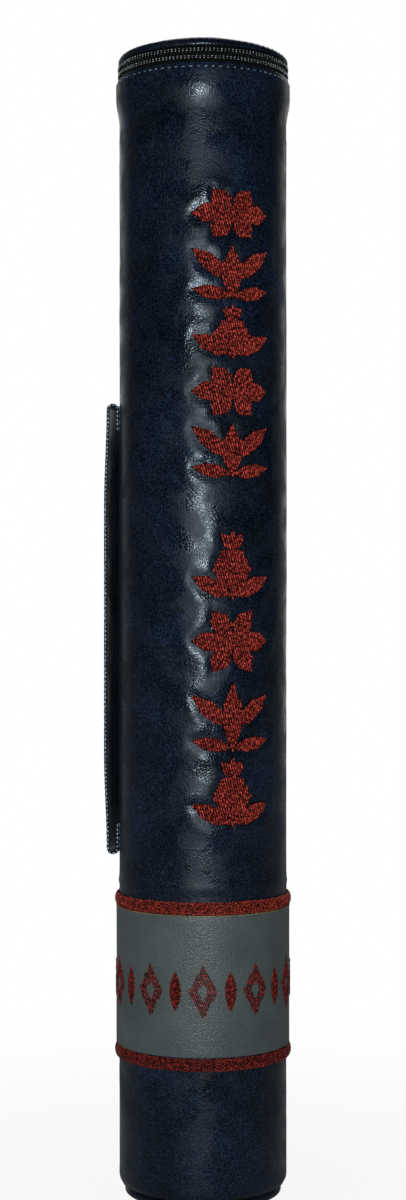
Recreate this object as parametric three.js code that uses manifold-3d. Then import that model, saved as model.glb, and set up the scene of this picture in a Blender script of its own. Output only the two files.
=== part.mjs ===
// Round zip-lid scroll case: a stiff tube in a soft cover, with a banded foot, a side strap,
// embroidered motifs down the front and a lid that a coil zip closes.
// Millimetres, +Z up, origin in the middle of the underside, strap on -X, lid hinge on +Y.
import * as THREE from 'three';
import { mergeVertices } from 'three/addons/utils/BufferGeometryUtils.js';
import { TessellateModifier } from 'three/addons/modifiers/TessellateModifier.js';
import Module from 'manifold-3d';

const wasm = await Module();
wasm.setup();

// Seats and facets
const seatGap = 0.3; // between pieces that are glued, sewn or rest on each other
const shownSteps = 46; // facets round a shown piece
const innerSteps = 30; // facets round a hidden piece

// Tube, its cover and its foot
const coverRadius = 35;
const coverThickness = 1.2;
const tubeWall = 2.2;
const liningThickness = 0.6;
const baseDiscRadius = 32.6;
const baseDiscThickness = 2.6;
const baseDiscEdge = 0.7;
const footRounding = 4.6;
const hemWidth = 7;
const bottomBoardThickness = 2.5;
const floorPadThickness = 1;

// Collar, the thickened top edge of the cover
const collarTop = 463.9;
const collarHeight = 14.4;
const collarSwell = 1.4;
const collarFlare = 6.5;
const collarRounding = 2.9;
const collarLipDrop = 0.6;
const tubeTopDrop = 0.6;

// Band at the foot
const lowerPipingBottom = 56.9;
const pipingWidth = 5.1;
const pipingThickness = 1.6;
const bandWidth = 57.9;
const bandThickness = 0.9;
const bandEdgeRounding = 0.4;

// Zip
const zipExposure = 6.3;
const tapeThickness = 0.4;
const tapeSewn = 12.4; // how far the body tape runs under the collar
const lidTapeSewn = 1.8;
const tapeEdge = 1.1; // from the middle of the chain to the tape's edge
const coilPitch = 1.55;
const coilThickness = 1.1;
const coilHalfWidth = 2;
const toothRoot = 0.35;
const toothHead = 0.6;
const toothReach = 0.6; // how far a tooth passes the middle of the chain
const toothLength = 1.6;
const parkedAngle = THREE.MathUtils.degToRad(146);
const lidChainAngle = THREE.MathUtils.degToRad(136);
const coilEndAngle = THREE.MathUtils.degToRad(149.7);
const tapeEndAngle = THREE.MathUtils.degToRad(155.3);
const hingeHalfAngle = THREE.MathUtils.degToRad(24);
const chainCut = THREE.MathUtils.degToRad(0.6); // between the lid's chain and the fixed ends
const tapeArcSteps = 40;
const tapeEndSteps = 3;

// Slider and pull
const sliderLength = 8;
const sliderRearHalf = 2.85;
const sliderShoulderHalf = 3.1;
const sliderNoseHalf = 1.3;
const shoulderPlace = 1;
const plateThickness = 1.2;
const plateRun = 0.6; // clear of the coil and the tape
const flangeThickness = 0.55;
const flangeRun = 0.45;
const wedgeLength = 1.3;
const wedgeHalf = 0.75;
const wedgeBackHalf = 0.55;
const wedgeSetback = 0.1;
const bailHalfLength = 2.6;
const bailBar = 0.8;
const bailWidth = 1.6;
const bailHeight = 2.8;
const bailShoulder = 1.3;
const pullThickness = 1;
const pullLift = 0.3;
const pullEyeClear = 0.4;
const pullEyeWall = 1.1;
const pullLength = 21;
const pullWidth = 5.4;
const pullNeckWidth = 3;
const pullWindowWidth = 2.6;
const pullWindowLength = 7;
const pullWindowDrop = 6.2;
const stopLength = 0.8;
const stopThickness = 1.3;
const stopWidth = 1.6;

// Lid
const lidRadius = 35.5;
const lidShoulderRadius = 31;
const lidRimHeight = 3.8;
const lidCrown = 2;
const lidRimStraight = 1.2;
const lidCoverThickness = 1.1;
const lidLiningThickness = 0.3;
const lidBoardThickness = 0.9;
const lidLiningDrop = 0.2; // the lining's face above the lid's lower edge

// Leather hinge
const hingeThickness = 1;
const hingeSewn = 12;
const hingeGap = 0.6;
const hingeLidHeight = 5.1;
const hingeArcSteps = 8;

// Strap
const strapBottom = 140.2;
const strapLength = 189;
const strapHalfWidth = 9;
const strapThickness = 1.2;
const strapEndStand = 5.4; // outside face off the wall, at the folded ends
const strapMiddleStand = 6.5;
const strapRise = 40; // length over which the stand grows
const lowerLegLength = 12.5;
const upperLegLength = 11;
const strapArcSteps = 6;
const foldSteps = 6;
const strapAngle = THREE.MathUtils.degToRad(-90);

// Embroidery
const motifAngle = THREE.MathUtils.degToRad(32);
const motifThickness = 0.8;
const motifHalfWidth = 17;
const motifGap = 1.6; // between neighbours in a group
const motifCount = 9;
const lowerGroupCount = 4;
const columnBottomShare = 0.09; // these four are shares of the wall from piping to collar
const lowerGroupShare = 0.385;
const groupGapShare = 0.06;
const upperGroupShare = 0.376;
const fruitHalfWidth = 8.4;
const fruitHeightShare = 0.62; // of half a motif's height, as the other shares below
const fruitDropShare = 0.1;
const crownRootShare = 0.4;
const crownHalfWidth = 2.1;
const crownSpread = THREE.MathUtils.degToRad(32);
const stemShare = 0.6;
const stemHalfWidth = 1.8;
const broadLeafTilt = THREE.MathUtils.degToRad(26);
const broadLeafHalfWidth = 3.6;
const spearHalfWidth = 4.4;
const sideLeafTilt = THREE.MathUtils.degToRad(38);
const sideLeafHalfWidth = 3.6;
const sideLeafRootShare = 0.3;
const lowLeafTilt = THREE.MathUtils.degToRad(10);
const lowLeafHalfWidth = 3;
const lowLeafRootShare = 0.86;
const petalCount = 6;
const petalHalfWidth = 4.4;
const petalRootShare = 0.1;
const rosetteHeart = 4;
const facetLimit = 7; // longest edge, round the wall, of a piece that is laid on it
const heightShare = 0.2; // what an edge's height counts for in that length

// Worked out from the sizes above
const coverInner = coverRadius - coverThickness;
const tubeOuter = coverInner - seatGap;
const tubeInner = tubeOuter - tubeWall;
const liningOuter = tubeInner - seatGap;
const liningInner = liningOuter - liningThickness;
const hemBottom = baseDiscThickness + seatGap;
const tubeBottom = hemBottom + coverThickness + seatGap;
const boardTop = tubeBottom + bottomBoardThickness;
const floorBottom = boardTop + seatGap;
const tapeInner = tubeOuter + seatGap;
const tapeOuter = tapeInner + tapeThickness;
const sleeveInner = tapeOuter + seatGap;
const collarRadius = coverRadius + collarSwell;
const collarFoot = collarTop - collarHeight;
const tubeTop = collarTop - tubeTopDrop;
const chainHeight = collarTop + zipExposure / 2;
const lidBottom = collarTop + zipExposure;
const tapeFoot = collarTop - tapeSewn;
const coilInner = tapeOuter + seatGap;
const coilOuter = coilInner + coilThickness;
const bandInner = coverRadius + seatGap;
const bandBottom = lowerPipingBottom + pipingWidth + seatGap;
const upperPipingBottom = bandBottom + bandWidth - seatGap;
const hingeInner = collarRadius + seatGap;
const hingeOuter = hingeInner + hingeThickness;

// A point at a radius, an angle from the front (-Y, growing towards +X) and a height.
function polar(radius, angle, height) {
  return new THREE.Vector3(radius * Math.sin(angle), -radius * Math.cos(angle), height);
}

// One closed skin: shared corners merged, empty faces dropped, faces pointing out.
function closed(geometry) {
  const bare = new THREE.BufferGeometry();
  bare.setAttribute('position', geometry.getAttribute('position').clone());
  if (geometry.index) bare.setIndex(geometry.index.clone());
  const merged = mergeVertices(bare, 1e-4);
  const corner = (i) => new THREE.Vector3().fromBufferAttribute(merged.getAttribute('position'), i);
  const faces = [];
  let volume = 0;
  for (let i = 0; i < merged.index.count; i += 3) {
    const [a, b, c] = [0, 1, 2].map((k) => merged.index.getX(i + k));
    if (a === b || b === c || c === a) continue;
    faces.push([a, b, c]);
    volume += corner(a).dot(corner(b).cross(corner(c)));
  }
  merged.setIndex(faces.flatMap(([a, b, c]) => (volume > 0 ? [a, b, c] : [a, c, b])));
  return merged;
}

function moved(geometry, place) {
  const points = geometry.getAttribute('position');
  for (let i = 0; i < points.count; i += 1) {
    const spot = place(points.getX(i), points.getY(i), points.getZ(i));
    points.setXYZ(i, spot.x, spot.y, spot.z);
  }
  return closed(geometry);
}

// A profile of [radius, height] pairs turned right round the axis.
function turned(profile, steps) {
  const points = profile.map(([radius, height]) => new THREE.Vector2(radius, height));
  return closed(new THREE.LatheGeometry(points, steps).rotateX(Math.PI / 2));
}

function ring(profile, steps) {
  return turned([...profile, profile[0]], steps);
}

// A profile of [radius, height] pairs carried round the axis from one angle to another.
function arcSweep(profile, fromAngle, toAngle, steps) {
  const shape = new THREE.Shape(profile.map(([radius, height]) => new THREE.Vector2(radius, height)));
  const straight = new THREE.ExtrudeGeometry(shape, { depth: 1, steps, bevelEnabled: false });
  return moved(straight, (radius, height, share) =>
    polar(radius, toAngle - share * (toAngle - fromAngle), height),
  );
}

// Flat shapes of [arc length, height], joined, given a thickness outwards and laid round the wall.
function laidRound(shapes, innerRadius, thickness, angle) {
  const options = { depth: thickness, bevelEnabled: false, curveSegments: 3 };
  const flat = fused(shapes.map((shape) => closed(new THREE.ExtrudeGeometry(shape, options))));
  flat.scale(1, heightShare, 1);
  const fine = new TessellateModifier(facetLimit, 6).modify(flat);
  return moved(fine, (along, height, out) =>
    polar(innerRadius + out, angle + along / innerRadius, height / heightShare),
  );
}

function toSolid(geometry) {
  const mesh = new wasm.Mesh({
    numProp: 3,
    vertProperties: new Float32Array(geometry.getAttribute('position').array),
    triVerts: new Uint32Array(geometry.index.array),
  });
  return new wasm.Manifold(mesh);
}

function fused(geometries) {
  const whole = geometries.map(toSolid).reduce((sum, next) => sum.add(next));
  const mesh = whole.getMesh();
  const geometry = new THREE.BufferGeometry();
  geometry.setAttribute('position', new THREE.Float32BufferAttribute(mesh.vertProperties, 3));
  geometry.setIndex([...mesh.triVerts]);
  return closed(geometry);
}

function arcPoints(centreX, centreY, radius, from, to, steps) {
  return Array.from({ length: steps + 1 }, (_, i) => {
    const angle = THREE.MathUtils.lerp(from, to, i / steps);
    return [centreX + radius * Math.cos(angle), centreY + radius * Math.sin(angle)];
  });
}

const quarter = Math.PI / 2;

// Body

function innerTube() {
  return ring([
    [tubeInner, tubeBottom],
    [tubeOuter, tubeBottom],
    [tubeOuter, tubeTop],
    [tubeInner, tubeTop],
  ], innerSteps);
}

function tubeLining() {
  return ring([
    [liningInner, floorBottom],
    [liningOuter, floorBottom],
    [liningOuter, tubeTop],
    [liningInner, tubeTop],
  ], innerSteps);
}

function bottomBoard() {
  return turned([
    [0, tubeBottom],
    [liningOuter, tubeBottom],
    [liningOuter, boardTop],
    [0, boardTop],
  ], innerSteps);
}

function floorPad() {
  const radius = liningInner - seatGap;
  return turned([
    [0, floorBottom],
    [radius, floorBottom],
    [radius, floorBottom + floorPadThickness],
    [0, floorBottom + floorPadThickness],
  ], innerSteps);
}

function baseDisc() {
  return turned([
    [0, 0],
    [baseDiscRadius - baseDiscEdge, 0],
    [baseDiscRadius, baseDiscEdge],
    [baseDiscRadius, baseDiscThickness],
    [0, baseDiscThickness],
  ], shownSteps);
}

// The cover: a hem turned in under the tube, a rounded foot, the straight wall, and a
// collar that swells over the zip tape.
function bodyCover() {
  const foot = arcPoints(
    coverRadius - footRounding, hemBottom + footRounding, footRounding, -quarter, 0, 3,
  );
  const lipRadius = collarRadius - collarLipDrop;
  const lip = arcPoints(
    lipRadius - collarRounding / 2, collarTop - collarRounding / 2, collarRounding / 2, 0, quarter, 2,
  );
  return ring([
    [tubeOuter - hemWidth, hemBottom],
    ...foot,
    [coverRadius, collarFoot - collarFlare],
    [collarRadius - collarSwell / 4, collarFoot - collarFlare / 4],
    [collarRadius, collarFoot],
    [collarRadius, collarTop - collarRounding],
    ...lip,
    [sleeveInner, collarTop],
    [sleeveInner, tapeFoot - seatGap],
    [coverInner, tapeFoot - 2 * seatGap],
    [coverInner, tubeBottom - seatGap],
    [tubeOuter - hemWidth, tubeBottom - seatGap],
  ], shownSteps);
}

function greyBand() {
  const bandTop = bandBottom + bandWidth - 2 * seatGap;
  const face = bandInner + bandThickness;
  return ring([
    [bandInner, bandBottom],
    [face - bandEdgeRounding, bandBottom],
    [face, bandBottom + bandEdgeRounding],
    [face, bandTop - bandEdgeRounding],
    [face - bandEdgeRounding, bandTop],
    [bandInner, bandTop],
  ], shownSteps);
}

function piping(bottom) {
  const half = pipingWidth / 2;
  const bulge = arcPoints(0, 0, 1, -quarter, quarter, 5)
    .map(([out, up]) => [bandInner + pipingThickness * out, bottom + half + half * up]);
  return ring(bulge, shownSteps);
}

function handleStrap() {
  const foldRadius = (strapEndStand - seatGap) / 2;
  const innerFold = foldRadius - strapThickness;
  const foldCentre = seatGap + foldRadius;
  const low = strapBottom + foldRadius;
  const high = strapBottom + strapLength - foldRadius;
  const rise = [0, 0.5, 1].map((share) => ({
    along: strapRise * share,
    stand: THREE.MathUtils.smoothstep(share, 0, 1) * (strapMiddleStand - strapEndStand),
  }));
  const outside = [
    ...rise.map(({ along, stand }) => [strapEndStand + stand, low + along]),
    ...rise.toReversed().map(({ along, stand }) => [strapEndStand + stand, high - along]),
  ];
  const inside = outside.toReversed().map(([stand, height]) => [stand - strapThickness, height]);
  const outline = [
    [seatGap, strapBottom + lowerLegLength],
    ...arcPoints(foldCentre, low, foldRadius, -2 * quarter, 0, foldSteps),
    ...outside.slice(1, -1),
    ...arcPoints(foldCentre, high, foldRadius, 0, 2 * quarter, foldSteps),
    [seatGap, strapBottom + strapLength - upperLegLength],
    [seatGap + strapThickness, strapBottom + strapLength - upperLegLength],
    ...arcPoints(foldCentre, high, innerFold, 2 * quarter, 0, foldSteps),
    ...inside.slice(1, -1),
    ...arcPoints(foldCentre, low, innerFold, 0, -2 * quarter, foldSteps),
    [seatGap + strapThickness, strapBottom + lowerLegLength],
  ].map(([stand, height]) => [coverRadius + stand, height]);
  const halfAngle = strapHalfWidth / (coverRadius + strapMiddleStand);
  return arcSweep(outline, strapAngle - halfAngle, strapAngle + halfAngle, strapArcSteps);
}

// Embroidery: pomegranates, leaf sprays and rosettes take turns up the front, in a lower and
// an upper group.

function leafShape(centreAlong, centreUp, tilt, length, halfWidth) {
  const at = (along, across) => [
    centreAlong + along * Math.cos(tilt) - across * Math.sin(tilt),
    centreUp + along * Math.sin(tilt) + across * Math.cos(tilt),
  ];
  const shape = new THREE.Shape();
  shape.moveTo(...at(0, 0));
  shape.quadraticCurveTo(...at(length / 2, -2 * halfWidth), ...at(length, 0));
  shape.quadraticCurveTo(...at(length / 2, 2 * halfWidth), ...at(0, 0));
  return shape;
}

// Two leaves that reach the motif's edges, mirrored.
function leafPair(centreUp, tilt, halfWidth) {
  const length = motifHalfWidth / Math.cos(tilt);
  return [tilt, Math.PI - tilt].map((turn) => leafShape(0, centreUp, turn, length, halfWidth));
}

function pomegranateShapes(centreUp, half) {
  const fruit = new THREE.Shape();
  const fruitUp = centreUp - fruitDropShare * half;
  fruit.absellipse(0, fruitUp, fruitHalfWidth, fruitHeightShare * half, 0, 2 * Math.PI, false, 0);
  const crownRoot = centreUp + crownRootShare * half;
  const crownLength = (1 - crownRootShare) * half;
  const crown = [-crownSpread, 0, crownSpread]
    .map((turn) => leafShape(0, crownRoot, quarter + turn, crownLength, crownHalfWidth));
  const foot = centreUp - half;
  return [
    fruit,
    ...crown,
    leafShape(0, foot, quarter, stemShare * half, stemHalfWidth),
    ...leafPair(foot + stemHalfWidth, broadLeafTilt, broadLeafHalfWidth),
  ];
}

function sprayShapes(centreUp, half) {
  return [
    leafShape(0, centreUp - half, quarter, 2 * half, spearHalfWidth),
    ...leafPair(centreUp - sideLeafRootShare * half, sideLeafTilt, sideLeafHalfWidth),
    ...leafPair(centreUp - lowLeafRootShare * half, lowLeafTilt, lowLeafHalfWidth),
  ];
}

function rosetteShapes(centreUp, half) {
  const heart = new THREE.Shape();
  heart.absarc(0, centreUp, rosetteHeart, 0, 2 * Math.PI, false);
  const petals = Array.from({ length: petalCount }, (_, i) => {
    const turn = (2 * Math.PI * i) / petalCount;
    const along = motifHalfWidth * Math.cos(turn);
    const up = half * Math.sin(turn);
    const reach = Math.hypot(along, up);
    const root = petalRootShare;
    return leafShape(
      root * along, centreUp + root * up, Math.atan2(up, along), (1 - root) * reach, petalHalfWidth,
    );
  });
  return [heart, ...petals];
}

function motif(number) {
  const wallBottom = upperPipingBottom + pipingWidth;
  const wall = collarFoot - collarFlare - wallBottom;
  const upper = number >= lowerGroupCount;
  const groupCount = upper ? motifCount - lowerGroupCount : lowerGroupCount;
  const pitch = (wall * (upper ? upperGroupShare : lowerGroupShare)) / groupCount;
  const column = wallBottom + columnBottomShare * wall;
  const groupBottom = upper ? column + (lowerGroupShare + groupGapShare) * wall : column;
  const place = upper ? number - lowerGroupCount : number;
  const drawn = [pomegranateShapes, sprayShapes, rosetteShapes][number % 3];
  const shapes = drawn(groupBottom + (place + 0.5) * pitch, (pitch - motifGap) / 2);
  return laidRound(shapes, bandInner, motifThickness, motifAngle);
}

// Zip

function tapeArc(from, to, low, high, steps) {
  return arcSweep([
    [tapeInner, low],
    [tapeOuter, low],
    [tapeOuter, high],
    [tapeInner, high],
  ], from, to, steps);
}

// One row of the coil. Its teeth widen to a head, and pass between the heads of the other
// row: side is 1 where the teeth point up and -1 where they point down.
function coilRow(from, to, side) {
  const radius = (coilInner + coilOuter) / 2;
  const pitch = coilPitch / radius;
  const phase = side > 0 ? 0 : 0.5;
  const first = Math.ceil((from + toothHead / radius) / pitch - phase);
  const last = Math.floor((to - toothHead / radius) / pitch - phase);
  const back = chainHeight - side * coilHalfWidth;
  const root = chainHeight + side * (toothReach - toothLength);
  const tip = chainHeight + side * toothReach;
  const flat = [];
  const faces = [];
  const lower = [];
  const upper = [];
  const corner = (angle, height) => flat.push([angle, height]) - 1;
  for (let tooth = first; tooth <= last; tooth += 1) {
    const middle = (tooth + phase) * pitch;
    const rootHalf = toothRoot / radius / 2;
    const headHalf = toothHead / radius / 2;
    const backLeft = corner(middle - rootHalf, back);
    const left = corner(middle - rootHalf, root);
    const tipLeft = corner(middle - headHalf, tip);
    const tipRight = corner(middle + headHalf, tip);
    const right = corner(middle + rootHalf, root);
    faces.push([left, right, tipRight], [left, tipRight, tipLeft], [backLeft, right, left]);
    if (tooth > first) {
      const previous = lower.at(-1);
      faces.push([previous, backLeft, left], [previous, left, upper.at(-1)]);
    }
    lower.push(backLeft);
    upper.push(left, tipLeft, tipRight, right);
    if (tooth === last) {
      lower.push(corner(middle + rootHalf, back));
      faces.push([backLeft, lower.at(-1), right]);
    }
  }
  const loop = [...lower, ...upper.toReversed()];
  const points = [coilInner, coilOuter].flatMap((shell) =>
    flat.flatMap(([angle, height]) => polar(shell, angle, height).toArray()),
  );
  const count = flat.length;
  const index = faces.flatMap(([a, b, c]) => [a, c, b, a + count, b + count, c + count]);
  loop.forEach((here, i) => {
    const next = loop[(i + 1) % loop.length];
    index.push(here, next, next + count, here, next + count, here + count);
  });
  const geometry = new THREE.BufferGeometry();
  geometry.setAttribute('position', new THREE.Float32BufferAttribute(points, 3));
  geometry.setIndex(index);
  return closed(geometry);
}

function tapeEnd(from, to) {
  return tapeArc(from, to, chainHeight + tapeEdge, lidBottom - seatGap, tapeEndSteps);
}

function stopBlock(angle, low, high) {
  const half = stopLength / 2 / coilInner;
  return arcSweep([
    [coilInner, low],
    [coilInner + stopThickness, low],
    [coilInner + stopThickness, high],
    [coilInner, high],
  ], angle - half, angle + half, 1);
}

// Slider: x runs along the chain towards the nose, y is up and z is the distance from the
// tube's axis, until seated turns them to the case.

const outerPlateFoot = coilOuter + plateRun;
const innerPlateFoot = tapeInner - plateRun - plateThickness - flangeThickness / 2;
const outerPlateTop = outerPlateFoot + plateThickness;
const nose = sliderLength / 2;

function seated(geometry) {
  return geometry.rotateX(quarter);
}

function slab(shape, low, thickness) {
  const options = { depth: thickness, bevelEnabled: false, curveSegments: 4 };
  return closed(new THREE.ExtrudeGeometry(shape, options).translate(0, 0, low));
}

function plateShape() {
  const shape = new THREE.Shape();
  shape.moveTo(-nose, -sliderRearHalf);
  shape.lineTo(shoulderPlace, -sliderShoulderHalf);
  shape.quadraticCurveTo(nose, -sliderShoulderHalf, nose, -sliderNoseHalf);
  shape.lineTo(nose, sliderNoseHalf);
  shape.quadraticCurveTo(nose, sliderShoulderHalf, shoulderPlace, sliderShoulderHalf);
  shape.lineTo(-nose, sliderRearHalf);
  return shape;
}

function flange(side, low, high) {
  const length = nose + shoulderPlace;
  const bar = new THREE.BoxGeometry(length, flangeThickness, high - low);
  const across = side * (sliderRearHalf - flangeThickness / 2);
  return closed(bar.translate(shoulderPlace - length / 2, across, (low + high) / 2));
}

function wedgeShape() {
  const back = nose - wedgeSetback;
  const shape = new THREE.Shape();
  shape.moveTo(back - wedgeLength, 0);
  shape.lineTo(back - wedgeLength / 2, -wedgeHalf);
  shape.lineTo(back, -wedgeBackHalf);
  shape.lineTo(back, wedgeBackHalf);
  shape.lineTo(back - wedgeLength / 2, wedgeHalf);
  return shape;
}

// The bail is an arch over the outer plate: its rear leg carries the pull.
function bailArch() {
  const sunk = plateThickness / 2;
  const low = outerPlateTop - sunk;
  const top = outerPlateTop + bailHeight;
  const inner = bailHalfLength - bailBar;
  const shape = new THREE.Shape();
  shape.moveTo(-bailHalfLength, low);
  shape.lineTo(-inner, low);
  shape.lineTo(-inner, top - bailBar);
  shape.lineTo(inner, top - bailBar);
  shape.lineTo(inner, low);
  shape.lineTo(bailHalfLength, low);
  shape.lineTo(bailHalfLength, top - bailShoulder);
  shape.quadraticCurveTo(bailHalfLength, top, bailHalfLength - bailShoulder, top);
  shape.lineTo(bailShoulder - bailHalfLength, top);
  shape.quadraticCurveTo(-bailHalfLength, top, -bailHalfLength, top - bailShoulder);
  const options = { depth: bailWidth, bevelEnabled: false, curveSegments: 3 };
  const arch = new THREE.ExtrudeGeometry(shape, options).translate(0, 0, -bailWidth / 2);
  return closed(arch.rotateX(quarter));
}

function sliderBody() {
  const innerTop = innerPlateFoot + plateThickness;
  const overlap = plateThickness / 2;
  const outerFlangeLow = tapeOuter + flangeRun;
  const innerFlangeHigh = tapeInner - flangeRun;
  const parts = [
    slab(plateShape(), outerPlateFoot, plateThickness),
    slab(plateShape(), innerPlateFoot, plateThickness),
    slab(wedgeShape(), innerTop - overlap, outerPlateFoot - innerTop + 2 * overlap),
    bailArch(),
  ];
  for (const side of [-1, 1]) {
    parts.push(flange(side, outerFlangeLow, outerPlateFoot + overlap));
    parts.push(flange(side, innerTop - overlap, innerFlangeHigh));
  }
  return seated(fused(parts));
}

const bailLegPlace = bailBar / 2 - bailHalfLength;

function pullTab() {
  const eyeInner = Math.hypot(bailBar, bailWidth) / 2 + pullEyeClear;
  const eyeOuter = eyeInner + pullEyeWall;
  const neck = pullNeckWidth / 2;
  const half = pullWidth / 2;
  const neckUp = -Math.sqrt(eyeOuter ** 2 - neck ** 2);
  const neckAngle = Math.atan2(neckUp, neck);
  const shape = new THREE.Shape();
  shape.moveTo(neck, neckUp);
  shape.absarc(0, 0, eyeOuter, neckAngle, Math.PI - neckAngle, false);
  shape.lineTo(-half, neckUp - half);
  shape.lineTo(-half, half - pullLength);
  shape.absarc(0, half - pullLength, half, Math.PI, 2 * Math.PI, false);
  shape.lineTo(half, neckUp - half);
  const eye = new THREE.Path();
  eye.absarc(0, 0, eyeInner, 0, 2 * Math.PI, true);
  const window = new THREE.Path();
  const side = pullWindowWidth / 2;
  window.moveTo(-side, -pullWindowDrop);
  window.lineTo(side, -pullWindowDrop);
  window.lineTo(side, -pullWindowDrop - pullWindowLength);
  window.lineTo(-side, -pullWindowDrop - pullWindowLength);
  shape.holes.push(eye, window);
  const options = { depth: pullThickness, bevelEnabled: false, curveSegments: 6 };
  const tab = new THREE.ExtrudeGeometry(shape, options);
  return seated(closed(tab.translate(bailLegPlace, 0, outerPlateTop + pullLift)));
}

// Lid

function lidDome(lift, shoulderRadius) {
  return [0.66, 0.33, 0].map((share) => {
    const radius = shoulderRadius * share;
    return [radius, lidBottom + lidRimHeight + lidCrown * (1 - share ** 2) + lift];
  });
}

function lidCover() {
  const shoulder = lidBottom + lidRimHeight;
  const rimTop = lidBottom + lidRimStraight;
  const bend = arcPoints(0, 0, 1, 0, quarter, 3).map(([out, up]) => [
    lidShoulderRadius + (lidRadius - lidShoulderRadius) * out,
    rimTop + (shoulder - rimTop) * up,
  ]);
  const under = shoulder - lidCoverThickness;
  return turned([
    ...lidDome(-lidCoverThickness, lidShoulderRadius).toReversed(),
    [lidShoulderRadius, under],
    [sleeveInner, lidBottom + lidTapeSewn + seatGap],
    [sleeveInner, lidBottom],
    [lidRadius, lidBottom],
    ...bend,
    ...lidDome(0, lidShoulderRadius),
  ], shownSteps);
}

function lidDisc(radius, low, thickness) {
  return turned([
    [0, low],
    [radius, low],
    [radius, low + thickness],
    [0, low + thickness],
  ], innerSteps);
}

const lidLiningLow = lidBottom + lidLiningDrop;
const lidBoardLow = lidLiningLow + lidLiningThickness + seatGap;
const lidPadLow = lidBoardLow + lidBoardThickness + seatGap;
const lidBoardRadius = tapeInner - 1.5 * seatGap;

function lidPadding() {
  const radius = lidShoulderRadius - seatGap;
  const top = -lidCoverThickness - seatGap;
  return turned([
    [0, lidPadLow],
    [radius, lidPadLow],
    [radius, lidBottom + lidRimHeight + top],
    ...lidDome(top, radius),
  ], innerSteps);
}

// Leather hinge, as its body half and its lid half

function hingeLeather(low, high, inner) {
  return arcSweep([
    [inner, low],
    [hingeOuter, low],
    [hingeOuter, high],
    [inner, high],
  ], Math.PI - hingeHalfAngle, Math.PI + hingeHalfAngle, hingeArcSteps);
}

// Materials

const finish = (color, roughness, metalness = 0) =>
  new THREE.MeshStandardMaterial({ color, roughness, metalness });
const navyLeather = finish('#131b2c', 0.38);
const slateLeather = finish('#4b5458', 0.6);
const crimsonThread = finish('#7d2024', 0.75);
const blackNylon = finish('#15181a', 0.5);
const blackCloth = finish('#101214', 0.9);
const navyLining = finish('#1c2740', 0.95);
const greyBoard = finish('#8b8577', 0.9);
const darkMetal = finish('#3c3f42', 0.35, 0.9);

const scrollCase = new THREE.Group();
const body = new THREE.Group();
const lid = new THREE.Group();
const slider = new THREE.Group();
slider.position.z = chainHeight;
slider.rotation.z = parkedAngle;
scrollCase.add(body, lid, slider);

function place(parent, name, geometry, material) {
  const mesh = new THREE.Mesh(geometry, material);
  mesh.name = name;
  parent.add(mesh);
}

place(body, 'inner_tube', innerTube(), greyBoard);
place(body, 'tube_lining', tubeLining(), navyLining);
place(body, 'bottom_board', bottomBoard(), greyBoard);
place(body, 'floor_pad', floorPad(), navyLining);
place(body, 'base_disc', baseDisc(), navyLeather);
place(body, 'body_cover', bodyCover(), navyLeather);
place(body, 'grey_band', greyBand(), slateLeather);
place(body, 'band_piping_lower', piping(lowerPipingBottom), crimsonThread);
place(body, 'band_piping_upper', piping(upperPipingBottom), crimsonThread);
place(body, 'handle_strap', handleStrap(), navyLeather);
for (let number = 0; number < motifCount; number += 1) {
  place(body, `embroidered_motif_${number + 1}`, motif(number), crimsonThread);
}

const bodyTapeTop = chainHeight - tapeEdge;
place(body, 'zipper_tape_body',
  tapeArc(-tapeEndAngle, tapeEndAngle, tapeFoot, bodyTapeTop, tapeArcSteps), blackCloth);
place(body, 'zipper_coil_body', coilRow(-coilEndAngle, coilEndAngle, 1), blackNylon);
const endFrom = lidChainAngle + chainCut;
place(body, 'zipper_tape_end_right', tapeEnd(endFrom, tapeEndAngle), blackCloth);
place(body, 'zipper_tape_end_left', tapeEnd(-tapeEndAngle, -endFrom), blackCloth);
place(body, 'zipper_coil_end_right', coilRow(endFrom, coilEndAngle, -1), blackNylon);
place(body, 'zipper_coil_end_left', coilRow(-coilEndAngle, -endFrom, -1), blackNylon);
const stopAngle = tapeEndAngle - stopLength / coilInner;
const stopEdge = tapeEdge + stopWidth;
place(body, 'zipper_stop_closed_lower',
  stopBlock(stopAngle, chainHeight - stopEdge, chainHeight - tapeEdge), darkMetal);
place(body, 'zipper_stop_closed_upper',
  stopBlock(stopAngle, chainHeight + tapeEdge, chainHeight + stopEdge), darkMetal);
place(body, 'zipper_stop_open',
  stopBlock(-stopAngle, chainHeight - stopEdge, chainHeight + stopEdge), darkMetal);
place(body, 'hinge_leather_body',
  hingeLeather(collarTop - hingeSewn, chainHeight - hingeGap / 2, hingeInner), navyLeather);

place(lid, 'lid_cover', lidCover(), navyLeather);
place(lid, 'lid_padding', lidPadding(), navyLining);
place(lid, 'lid_board', lidDisc(lidBoardRadius, lidBoardLow, lidBoardThickness), greyBoard);
place(lid, 'lid_lining', lidDisc(lidBoardRadius, lidLiningLow, lidLiningThickness), navyLining);
place(lid, 'zipper_tape_lid',
  tapeArc(-lidChainAngle, lidChainAngle, chainHeight + tapeEdge, lidBottom + lidTapeSewn,
    tapeArcSteps), blackCloth);
place(lid, 'zipper_coil_lid', coilRow(-lidChainAngle, lidChainAngle, -1), blackNylon);
const hingeLidLow = chainHeight + hingeGap / 2;
place(lid, 'hinge_leather_lid',
  hingeLeather(hingeLidLow, hingeLidLow + hingeLidHeight, lidRadius + seatGap), navyLeather);

place(slider, 'slider_body', sliderBody(), darkMetal);
place(slider, 'pull_tab', pullTab(), darkMetal);

export default scrollCase;
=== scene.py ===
import math
import random
import bpy
import bmesh
from mathutils import Matrix, Vector, noise
from mathutils.bvhtree import BVHTree
from mathutils.kdtree import KDTree


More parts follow.
